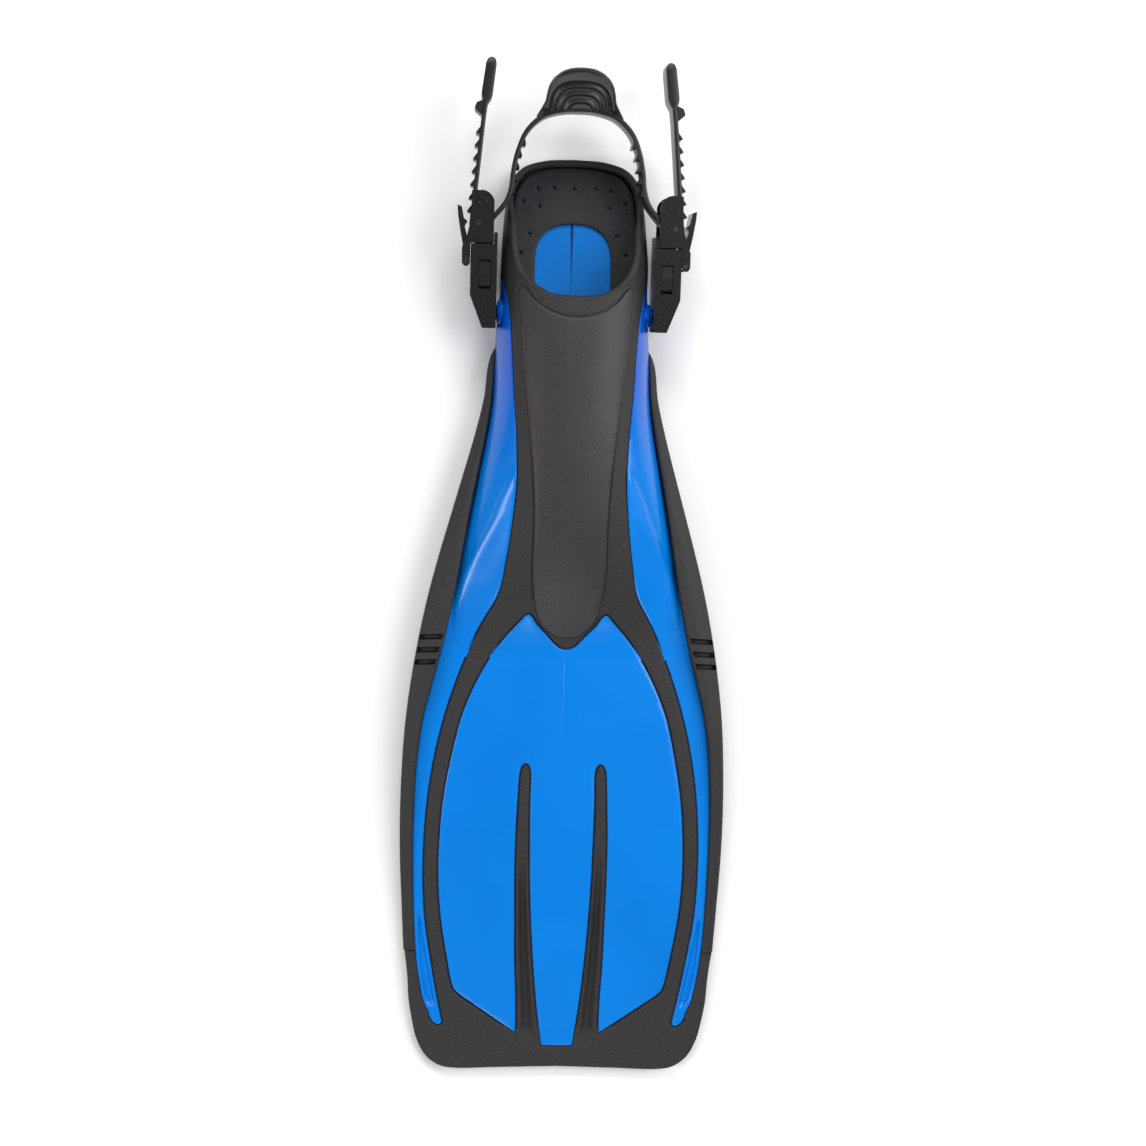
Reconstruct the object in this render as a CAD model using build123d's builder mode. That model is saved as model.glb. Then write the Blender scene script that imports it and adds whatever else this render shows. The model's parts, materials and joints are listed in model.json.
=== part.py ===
from build123d import *
from math import cos, sin, radians, degrees, atan2, hypot, acos, pi
import os

os.makedirs("parts", exist_ok=True)

# ---------------------------------------------------------------- dimensions
PLATE = 3.0            # blue plate thickness
FOOTBED = 2.5          # footbed thickness
TRIM_UP = 1.2          # rubber trim stands this far above the plate
POST_Y, POST_Z = 167.5, 30.0   # strap post axis, along X
TILT = 8.0             # strap assembly tilt about the post axis
HALF = 14.5            # half height of the buckle
STRAP_W = 24.0         # heel strap width
STRAP_T = 2.9          # heel strap thickness
ROLL_X, ROLL_Y = -62.7, 223.0  # strap roller axis, left side
LEV_X, LEV_Y = -70.3, 200.0    # lever pin axis, left side
ARM_Y, ARM_Z = 209.9, 40.5     # latch arm flexing root
RAIL_END = -249.0

# half widths (half width, y)
R_I = [(47.9, 196), (47.7, 185), (49.4, 160), (50.0, 139), (51.3, 112.8), (55.1, 86.5),
       (60.1, 60.4), (64.9, 34.3), (69.2, 8.4), (73.6, -17.6), (78.9, -43.7), (85.5, -69.8),
       (91.5, -94), (95.2, -122), (96.8, -155), (96.8, -188.3), (96.0, -214.9), (94.4, -243),
       (91.3, -268.1), (87.0, -285.5), (79.5, -298)]
R_O = [(50.2, 147), (53.3, 139.1), (56.8, 112.7), (62.8, 86.5), (70.0, 60.3), (77.2, 34.3),
       (84.3, 8.4), (90.7, -17.6), (95.9, -43.7), (100.1, -69.8), (103.2, -96), (105.2, -130),
       (105.8, -161.8), (105.3, -188.2), (103.9, -214.7), (102.0, RAIL_END)]
COVER = [(54.0, 208), (49.0, 197), (45.3, 185), (42.5, 172.8), (40.2, 153.6), (38.9, 134.6),
         (37.3, 109.4), (35.4, 84.2), (34.8, 59), (36.7, 33.8), (40.1, 8.3), (45.9, -17.5),
         (53.5, -30.7), (60.0, -43.7), (65.3, -56.8), (74.5, -83), (81.5, -109.3),
         (86.2, -135.6), (89.0, -164), (89.8, -195), (87.9, -228.3), (83.7, -255),
         (78.6, -281.7), (75.0, -298)]
PANEL_IN = [(30.6, -31.4), (41.4, -43.7), (50.3, -56.8), (57.5, -69.9), (63.4, -83), (68.0, -96.1),
            (74.0, -122.4), (78.4, -148.8), (80.4, -175.2), (80.6, -201.7), (78.4, -228.3),
            (73.8, -255), (69.8, -273.5)]
RIB_O = [(27.3, -128.5), (28.6, -145), (29.6, -175.2), (29.6, -201.7), (29.0, -228.3),
         (28.4, -255), (27.1, -281.7), (26.8, -305)]
RIB_I = [(21.6, -129.5), (21.6, -148.8), (21.3, -175.2), (20.7, -201.7), (19.4, -228.3),
         (17.5, -255), (14.9, -281.7), (10.9, -313)]
HEEL = [(48.75, 170), (47.75, 185), (47.4, 200), (46.6, 220), (45.2, 238), (42.2, 254),
        (34.4, 264.5), (20.0, 269.6), (0, 271)]
# long profile of the underside (y, z)
SOLE = [(180, 0), (100, 6), (20, 12.4), (-60, 16), (-160, 12), (-250, 5), (-330, 0)]
PLATE_LO = [(180, 4), (100, 10), (20, 16.2), (-60, 16.9), (-160, 12.8), (-250, 5.8), (-330, 0.8)]
RIM = [(175.1, 65.0), (179.4, 61.8), (183.6, 58.9), (190.3, 55.0), (199.4, 50.6), (210, 45.2), (221, 38.0),
       (232, 29.0), (243, 21.0), (257, 14.8), (273, 12)]
# dome sections: y, half width, base z, crown z, exponent
DOME = [(285, 46.0, 6.2, 67, 2.0), (240, 46.3, 6.2, 66.6, 2.05), (221, 47.8, 6.2, 66.4, 2.35), (200, 48.9, 6.2, 66, 2.9),
        (181, 48.6, 6.2, 64.6, 2.9), (150, 50.3, 6.8, 64, 2.7), (110, 52.0, 10.4, 62, 2.4),
        (60, 60.9, 14.2, 57, 2.05), (20, 68.2, 17.0, 48.5, 1.9), (-5, 72.0, 17.5, 40, 1.85),
        (-25, 76.0, 17.8, 30.5, 1.9), (-40, 79.0, 17.8, 24.2, 2.1), (-52, 82.0, 17.7, 21.0, 2.6)]
CAVITY = [(285, 39.0, 6.2, 62, 2.6), (240, 41.0, 6.2, 62, 2.6), (221, 41.8, 6.2, 62, 2.8), (205, 42.5, 6.2, 62, 2.9),
          (181, 43.2, 6.2, 60.6, 2.9), (150, 45.0, 6.8, 60, 2.7), (110, 46.5, 10.4, 58, 2.5),
          (60, 47.5, 14.0, 53, 2.3), (20, 44.0, 16.6, 44, 2.2), (-12, 34.0, 17.0, 33, 2.1)]


# ---------------------------------------------------------------- helpers
def flip(pts):
    return [(-x, y) for x, y in reversed(pts)]


def plan(segs, z0=-20.0, z1=120.0):
    """A prism standing on an outline in the XY plane; each segment is ('s' or 'l', points)."""
    with BuildPart() as p:
        with BuildSketch(Plane.XY.offset(z0)):
            with BuildLine():
                for kind, pts in segs:
                    if kind == "s":
                        Spline(*pts)
                    else:
                        Polyline(*pts)
            make_face()
        extrude(amount=z1 - z0)
    return p.part


def side(segs, half=130.0):
    """A prism along X standing on an outline in the YZ plane."""
    with BuildPart() as p:
        with BuildSketch(Plane.YZ):
            with BuildLine():
                for seg in segs:
                    if seg[0] == "s":
                        Spline(*seg[1], tangents=seg[2] if len(seg) > 2 else None)
                    else:
                        Polyline(*seg[1])
            make_face()
        extrude(amount=half, both=True)
    return p.part


def band(lo, hi, y_heel=290.0):
    """The space between two long profiles, flat behind y = 180."""
    fl, fh = [(y_heel, lo[0][1]), lo[0]], [(y_heel, hi[0][1]), hi[0]]
    tan = [(-1, 0), (-1, -0.05)]
    return side([("l", fl), ("s", lo, tan), ("l", [lo[-1], hi[-1]]), ("s", hi, tan),
                 ("l", fh), ("l", [fl[0], fh[0]])])


def up(prof, dz):
    return [(y, z + dz) for y, z in prof]


def dome(sections, grow=0.0):
    """A loft through arched sections."""
    with BuildPart() as p:
        for y, a, z0, zc, n in sections:
            a, h = a + grow, zc + grow - z0
            arc = []
            for i in range(0, 13):
                t = pi * i / 12
                c, s = cos(t), (0.0 if i in (0, 12) else sin(t))
                arc.append(((abs(c) ** (2 / n)) * a * (1 if c > 0 else -1) if abs(c) > 1e-9 else 0.0,
                            z0 + h * max(s, 0.0) ** (2 / n)))
            with BuildSketch(Plane(origin=(0, y, 0), x_dir=(1, 0, 0), z_dir=(0, -1, 0))):
                with BuildLine():
                    Polyline((a, z0), (a, -6), (-a, -6), (-a, z0))
                    Spline(*arc)
                make_face()
        loft()
    return p.part


def box_at(x0, x1, y0, y1, z0, z1):
    with BuildPart() as p:
        with Locations(((x0 + x1) / 2, (y0 + y1) / 2, (z0 + z1) / 2)):
            Box(abs(x1 - x0), abs(y1 - y0), abs(z1 - z0))
    return p.part


# ---------------------------------------------------------------- shared shapes
ri = plan([("s", R_I), ("l", [R_I[-1], flip(R_I)[0]]), ("s", flip(R_I)),
           ("l", [flip(R_I)[-1], R_I[0]])])
ro = plan([("s", R_O), ("l", [R_O[-1], flip(R_O)[0]]), ("s", flip(R_O)),
           ("l", [flip(R_O)[-1], R_O[0]])])
cover = plan([("s", COVER), ("l", [COVER[-1], flip(COVER)[0]]), ("s", flip(COVER)),
              ("l", [flip(COVER)[-1], COVER[0]])])
v_right = [(0, -49.6), (8.5, -43.9), (19.0, -34.2)]
peak = [(19.0, -34.2), (22.2, -28.4), (25.2, -26.4), (28.0, -28.3), (30.6, -31.4)]
panel = plan([("s", [(-19.0, -34.2), (-8.7, -44.5), (-4.9, -47.9), (0, -49.6), (4.9, -47.9), (8.7, -44.5), (19.0, -34.2)]),
              ("s", peak), ("s", PANEL_IN),
              ("l", [PANEL_IN[-1], (26.9, -304.5), (11.0, -312.5), (-11.0, -312.5),
                     (-26.9, -304.5), flip(PANEL_IN)[0]]),
              ("s", flip(PANEL_IN)), ("s", flip(peak))])
rib_right = plan([("s", RIB_O), ("l", [RIB_O[-1], (26.8, -318), (10.9, -318), RIB_I[-1]]),
                  ("s", RIB_I), ("s", [RIB_I[0], (24.4, -125.4), RIB_O[0]])])
rib_left = plan([("s", flip(RIB_O)), ("l", [flip(RIB_O)[0], (-26.8, -318), (-10.9, -318), flip(RIB_I)[0]]),
                 ("s", flip(RIB_I)), ("s", [flip(RIB_I)[-1], (-24.4, -125.4), flip(RIB_O)[-1]])])
heel_out = plan([("s", HEEL + flip(HEEL)[1:]), ("l", [flip(HEEL)[-1], HEEL[0]])])
HEEL_IN = [(42.6, 192), (42.6, 215), (41.4, 236), (38.6, 251), (31.0, 261.3), (18.0, 265.8), (0, 267)]
heel_in = plan([("s", HEEL_IN + flip(HEEL_IN)[1:]), ("l", [flip(HEEL_IN)[-1], HEEL_IN[0]])])
plate_band = band(PLATE_LO, up(PLATE_LO, PLATE))
over_plate = side([("l", [(290, 120), (290, 4 + PLATE), (180, 4 + PLATE)]),
                   ("s", up(PLATE_LO, PLATE), [(-1, 0), (-1, -0.05)]),
                   ("l", [(-330, 0.8 + PLATE), (-330, 120), (290, 120)])])
opening = side([("l", [(172, 100), (173.4, 68)]), ("s", [(173.4, 68)] + RIM),
                ("l", [RIM[-1], (300, 12), (300, 100), (172, 100)])])
outer = dome(DOME)
cavity = dome(CAVITY)

with BuildPart() as hull:                       # outside shape of the foot pocket
    add(outer)
    with BuildSketch(Plane.XY.offset(-30)):     # keep y > -52
        with Locations((0, -252)):
            Rectangle(300, 400)
    extrude(amount=160, mode=Mode.SUBTRACT)
with BuildPart() as envelope:                   # plan outline of the foot pocket
    add(ri)
    add(box_at(-130, 130, -320, 170, -30, 130), mode=Mode.INTERSECT)
    add(heel_out)
ROUND = [(44.5, 240), (38.6, 252), (30.5, 261.2), (18.0, 265.6), (0, 267)]
with BuildPart() as room:                       # space for the foot
    add(cavity)
    add(plan([("s", ROUND + flip(ROUND)[1:]),
              ("l", [flip(ROUND)[-1], (-60, 236), (-60, -60), (60, -60), (60, 236), ROUND[0]])]),
        mode=Mode.INTERSECT)
with BuildPart() as shell:                      # walls and roof above the plate
    add(hull.part)
    add(envelope.part, mode=Mode.INTERSECT)
    add(over_plate, mode=Mode.INTERSECT)
    add(room.part, mode=Mode.SUBTRACT)
    add(opening, mode=Mode.SUBTRACT)
with BuildPart() as dark:                       # plan area covered by rubber over the foot
    add(cover)
    add(box_at(-60, 60, 200, 300, -20, 120))
    add(panel, mode=Mode.SUBTRACT)

# ---------------------------------------------------------------- blade and frame
with BuildPart() as slim:                       # slim outer strips
    add(ri)
    add(box_at(-120, 120, -300, -55, -20, 120), mode=Mode.INTERSECT)
    add(cover, mode=Mode.SUBTRACT)
with BuildPart() as blade_frame:
    add(ri)
    add(box_at(-120, 120, -60, 194, -20, 120), mode=Mode.INTERSECT)
    add(heel_in)
    add(panel)
    add(rib_right, mode=Mode.SUBTRACT)
    add(rib_left, mode=Mode.SUBTRACT)
    add(slim.part)
    add(plate_band, mode=Mode.INTERSECT)
plate = blade_frame.part
with BuildPart() as walls:
    add(shell.part)
    add(dark.part, mode=Mode.SUBTRACT)
with BuildPart() as posts:
    for s in (-1, 1):
        with BuildSketch(Plane(origin=(s * 43.4, POST_Y, POST_Z), x_dir=(0, 1, 0), z_dir=(s, 0, 0))):
            Circle(7.5)
        extrude(amount=6.5)
        with BuildSketch(Plane(origin=(s * 44, POST_Y, POST_Z), x_dir=(0, 1, 0), z_dir=(s, 0, 0))):
            Circle(4.0)
        extrude(amount=13)
        with BuildSketch(Plane(origin=(s * 56, POST_Y, POST_Z), x_dir=(0, 1, 0), z_dir=(s, 0, 0))):
            Circle(5.5)
        extrude(amount=2.5)
    add(room.part, mode=Mode.SUBTRACT)
with BuildPart() as blade_frame:
    add(plate)
    add(walls.part)
    add(posts.part)
blade_frame.part.label = "blade_frame"

# ---------------------------------------------------------------- rubber trim
with BuildPart() as blade_trim:
    tip = [(100.8, RAIL_END), (99.6, -258), (98.8, -267.9), (97.9, -281.3), (95.6, -294.6),
           (92.2, -308), (86.0, -319.0), (76.5, -325.6), (66.0, -327.0)]
    add(plan([("l", [flip(tip)[-1], tip[0]]), ("s", tip),
              ("s", [tip[-1], (40, -326.3), (0, -325.2), (-40, -326.3), flip(tip)[0]]),
              ("s", flip(tip))]))
    with BuildPart(mode=Mode.PRIVATE) as inner_trim:
        add(cover)
        add(box_at(-120, 120, -298, -52, -20, 120), mode=Mode.INTERSECT)
    add(inner_trim.part)
    add(panel, mode=Mode.SUBTRACT)
    add(slim.part, mode=Mode.SUBTRACT)
    add(rib_right)
    add(rib_left)
    add(band(SOLE, up(PLATE_LO, PLATE + TRIM_UP)), mode=Mode.INTERSECT)
    add(plate, mode=Mode.SUBTRACT)
blade_trim.part.label = "blade_trim"

# ---------------------------------------------------------------- foot pocket
with BuildPart() as foot_pocket:
    add(shell.part)
    add(dark.part, mode=Mode.INTERSECT)
with BuildPart() as sole_block:
    sole = [(41.0, 200), (42.0, 170), (46.5, 130), (48.5, 100), (48.0, 70), (43.0, 30), (32.0, -2),
            (0, -20)]
    add(plan([("s", sole + flip(sole)[1:]), ("l", [flip(sole)[-1], sole[0]])]))
    add(heel_out)
    add(band(SOLE, up(PLATE_LO, PLATE)), mode=Mode.INTERSECT)
    add(plate, mode=Mode.SUBTRACT)
with BuildPart() as under:
    add(side([("l", [(290, -5), (290, 4 + PLATE), (180, 4 + PLATE)]),
              ("s", up(PLATE_LO, PLATE), [(-1, 0), (-1, -0.05)]),
              ("l", [(-330, 0.8 + PLATE), (-330, -5), (290, -5)])]))
    add(sole_block.part, mode=Mode.INTERSECT)
with BuildPart() as foot_pocket:
    add(shell.part)
    add(dark.part, mode=Mode.INTERSECT)
    add(under.part)
foot_pocket.part.label = "foot_pocket"

with BuildPart() as footbed:
    add(room.part)
    add(band(up(PLATE_LO, PLATE), up(PLATE_LO, PLATE + FOOTBED)), mode=Mode.INTERSECT)
    with BuildSketch(Plane.XY.offset(-10)):
        with BuildLine():
            Polyline((25, 204), (25, 60), (-25, 60), (-25, 204))
            Spline((-25, 204), (-23.0, 216), (-14, 226), (0, 229.4), (14, 226), (23.0, 216), (25, 204),
                   tangents=[(0, 1), (0, -1)])
        make_face()
    extrude(amount=60, mode=Mode.SUBTRACT)
    with BuildSketch(Plane.XY.offset(-10)):
        with Locations((0, 252.5), (14, 252.6), (-14, 252.6), (24.4, 251.8), (-24.4, 251.8),
                       (34.2, 243.4), (-34.2, 243.4), (23.4, 240.2), (-23.4, 240.2),
                       (29.3, 222), (-29.3, 222), (35.0, 209.5), (-35.0, 209.5)):
            Circle(1.15)
    extrude(amount=60, mode=Mode.SUBTRACT)
footbed.part.label = "footbed"

with BuildPart() as instep_panel:
    edge = [(36.4, 180.5), (35.6, 172), (33.6, 150), (31.0, 120), (27.4, 88), (24.6, 60), (23.4, 30),
            (23.6, -2), (21.6, -22), (14.0, -37), (0, -43)]
    add(dome(DOME, 1.0))
    add(plan([("s", edge + flip(edge)[1:]),
              ("s", [flip(edge)[-1], (-31.5, 178.6), (-20, 166.8), (0, 161.2), (20, 166.8),
                     (31.5, 178.6), edge[0]])]), mode=Mode.INTERSECT)
    add(outer, mode=Mode.SUBTRACT)
instep_panel.part.label = "instep_panel"

# ---------------------------------------------------------------- side rails
rail_band = side([("s", [(150, 20.5), (100, 27), (50, 30), (0, 31), (-60, 29.5), (-120, 25),
                         (-180, 17.8), (-255, 9.2)]),
                  ("l", [(-255, 9.2), (-255, 2.0)]),
                  ("s", [(-255, 2.0), (-180, 4.0), (-120, 6.8), (-60, 8), (0, 7.5), (50, 7),
                         (100, 7.2), (150, 9)]),
                  ("l", [(150, 9), (150, 20.5)])])
with BuildPart() as rails:
    add(ro)
    add(ri, mode=Mode.SUBTRACT)
    add(rail_band, mode=Mode.INTERSECT)
    for y in (-43.0, -51.4, -59.4):
        for s in (-1, 1):
            with BuildSketch(Plane(origin=(s * 90.5, y, 24.0), x_dir=(1, 0, 0), z_dir=(0, 0, 1))):
                RectangleRounded(16.0, 3.0, 1.4, rotation=-s * 4)
            extrude(amount=12, mode=Mode.SUBTRACT)
with BuildPart() as rail_right:
    add(rails.part)
    add(box_at(0, 150, -300, 200, -10, 60), mode=Mode.INTERSECT)
with BuildPart() as rail_left:
    add(rails.part)
    add(box_at(-150, 0, -300, 200, -10, 60), mode=Mode.INTERSECT)
rail_right.part.label = "rail_right"
rail_left.part.label = "rail_left"

# ---------------------------------------------------------------- buckles, left side, untilted
Z0, Z1 = POST_Z - HALF, POST_Z + HALF
with BuildPart() as receiver:
    with BuildSketch(Plane.XY.offset(Z0)):
        with BuildLine():
            Polyline((-50.5, 157.3), (-50.5, 217.7), (-52.5, 217.7), (-52.5, 210.4), (-67.4, 210.4),
                     (-67.4, 178.0), (-59.3, 157.3), (-50.5, 157.3))
        make_face()
    extrude(amount=2 * HALF)
    with Locations(((-65.3 - 53.0) / 2, 196.5, POST_Z)):      # socket for the insert
        Box(12.3, 29.0, 24.0, mode=Mode.SUBTRACT)
    with Locations((-58.25, 191.2, POST_Z)):                  # button windows, top and bottom
        Box(7.7, 18.4, 40.0, mode=Mode.SUBTRACT)
    with Locations(((-65.3 - 53.0) / 2, 183.2, POST_Z)):      # web behind the button windows
        Box(12.3, 2.4, 9.0)
    with BuildSketch(Plane(origin=(-50.4, POST_Y, POST_Z), x_dir=(0, 1, 0), z_dir=(-1, 0, 0))):
        Circle(4.06)
    extrude(amount=6.0, mode=Mode.SUBTRACT)
    with BuildSketch(Plane(origin=(-55.9, POST_Y, POST_Z), x_dir=(0, 1, 0), z_dir=(-1, 0, 0))):
        Circle(5.6)
    extrude(amount=2.7, mode=Mode.SUBTRACT)

with BuildPart() as strap_frame:
    with BuildSketch(Plane.XY.offset(Z0)):
        with BuildLine():
            Polyline((-53.0, 211.2), (-53.0, 236.0))
            Spline((-53.0, 236.0), (-55.4, 241.6), (-61.0, 244.0), tangents=[(0, 1), (-1, 0)])
            Polyline((-61.0, 244.0), (-67.4, 243.6), (-67.4, 226.0), (-70.2, 215.0), (-73.0, 208.0),
                     (-73.0, 199.0))
            Spline((-73.0, 199.0), (-70.3, 196.4), (-67.75, 199.0), tangents=[(0.3, -1), (0.3, 1)])
            Polyline((-67.75, 199.0), (-67.75, 211.2), (-53.0, 211.2))
        make_face()
    extrude(amount=2 * HALF)
    with Locations((-63.0, 226.0, POST_Z)):                  # slot for strap and lever
        Box(40.0, 66.0, 25.0, mode=Mode.SUBTRACT)
    with Locations((-60.2, 212.6, POST_Z)):                  # cross member
        Box(14.4, 2.8, 2 * HALF)
    with Locations((-59.2, 199.2, POST_Z)):                  # guide tongue
        Box(11.0, 24.2, 8.6)
    with Locations((ROLL_X, ROLL_Y, POST_Z)):
        Cylinder(1.25, 60, mode=Mode.SUBTRACT)
    with Locations((LEV_X, LEV_Y, POST_Z)):
        Cylinder(1.2, 60, mode=Mode.SUBTRACT)
    with Locations((-60.4, 236.7, Z1), (-60.4, 236.7, Z0)):   # round bosses
        Cylinder(2.6, 0.8)

with BuildPart() as latch_upper:
    with BuildSketch(Plane(origin=(-63.2, 0, 0), x_dir=(0, 1, 0), z_dir=(1, 0, 0))):
        with BuildLine():
            Polyline((183.5, 41.6), (183.5, 40.4), (186.0, 39.4), (209.9, 39.4))
            ThreePointArc((209.9, 39.4), (211.0, 40.5), (209.9, 41.6))
            Polyline((209.9, 41.6), (183.5, 41.6))
        make_face()
    extrude(amount=9.9)
    with BuildSketch(Plane(origin=(-61.8, 0, 0), x_dir=(0, 1, 0), z_dir=(1, 0, 0))):
        with BuildLine():
            Polyline((184.0, 41.0), (184.0, 43.4), (185.2, 44.2), (192.0, 44.3), (199.2, 43.3),
                     (199.2, 41.0), (184.0, 41.0))
        make_face()
    extrude(amount=7.1)
latch_lower_part = mirror(latch_upper.part, about=Plane.XY.offset(POST_Z))

with BuildPart() as strap_roller:
    with Locations((ROLL_X, ROLL_Y, POST_Z)):
        Cylinder(3.0, 24.4)
        Cylinder(1.30, 30, mode=Mode.SUBTRACT)
with BuildPart() as roller_pin:
    with Locations((ROLL_X, ROLL_Y, POST_Z)):
        Cylinder(1.25, 2 * HALF)
with BuildPart() as lever_pin:
    with Locations((LEV_X, LEV_Y, POST_Z)):
        Cylinder(1.2, 2 * HALF)
with BuildPart() as pawl_lever:
    with BuildSketch(Plane.XY.offset(POST_Z - 12)):
        with BuildLine():
            Polyline((-68.6, 202.4), (-69.2, 212.0), (-71.6, 221.5), (-69.9, 224.4), (-72.2, 226.2),
                     (-73.6, 233.4), (-76.4, 234.6), (-76.0, 229.0), (-74.4, 219.0), (-72.4, 209.0),
                     (-72.8, 201.4), (-68.6, 202.4))
        make_face()
        with Locations((LEV_X, LEV_Y)):
            Circle(2.45)
    extrude(amount=24)
    with Locations((LEV_X, LEV_Y, POST_Z)):
        Cylinder(1.24, 60, mode=Mode.SUBTRACT)
    with Locations((LEV_X + 0.4, LEV_Y, POST_Z)):            # room for the spring
        Box(7.0, 6.8, 5.0, mode=Mode.SUBTRACT)
with BuildPart() as lever_spring:
    with BuildLine() as coil:
        Helix(pitch=0.85, height=3.4, radius=1.85, center=(LEV_X, LEV_Y, POST_Z - 1.7))
    with BuildSketch(Plane(origin=coil.line @ 0, z_dir=coil.line % 0)):
        Circle(0.28)
    sweep(is_frenet=True)


# ---------------------------------------------------------------- heel strap, untilted
W0, W1 = POST_Z - STRAP_W / 2, POST_Z + STRAP_W / 2
R_C = 4.55                                  # strap centre line round the roller
TAIL_DIR = (6.2, 66.0)                      # lean of the tail
tl = hypot(*TAIL_DIR)
tdx, tdy = TAIL_DIR[0] / tl, TAIL_DIR[1] / tl
tail0 = (ROLL_X - R_C * tdy, ROLL_Y + R_C * tdx)          # where the tail leaves the roller
tail1 = (tail0[0] + 66 * tdx, tail0[1] + 66 * tdy)
TAIL_TIP = 326.9
# where the loop meets the roller: tangent from a point on the loop
p_in = (-45.6, 237.5)
dx, dy = p_in[0] - ROLL_X, p_in[1] - ROLL_Y
dist, base_a = hypot(dx, dy), atan2(dy, dx)
t_ang = base_a - acos(R_C / dist)
t_in = (ROLL_X + R_C * cos(t_ang), ROLL_Y + R_C * sin(t_ang))
ux, uy = (p_in[0] - t_in[0]), (p_in[1] - t_in[1])
ul = hypot(ux, uy)
ux, uy = ux / ul, uy / ul

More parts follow.
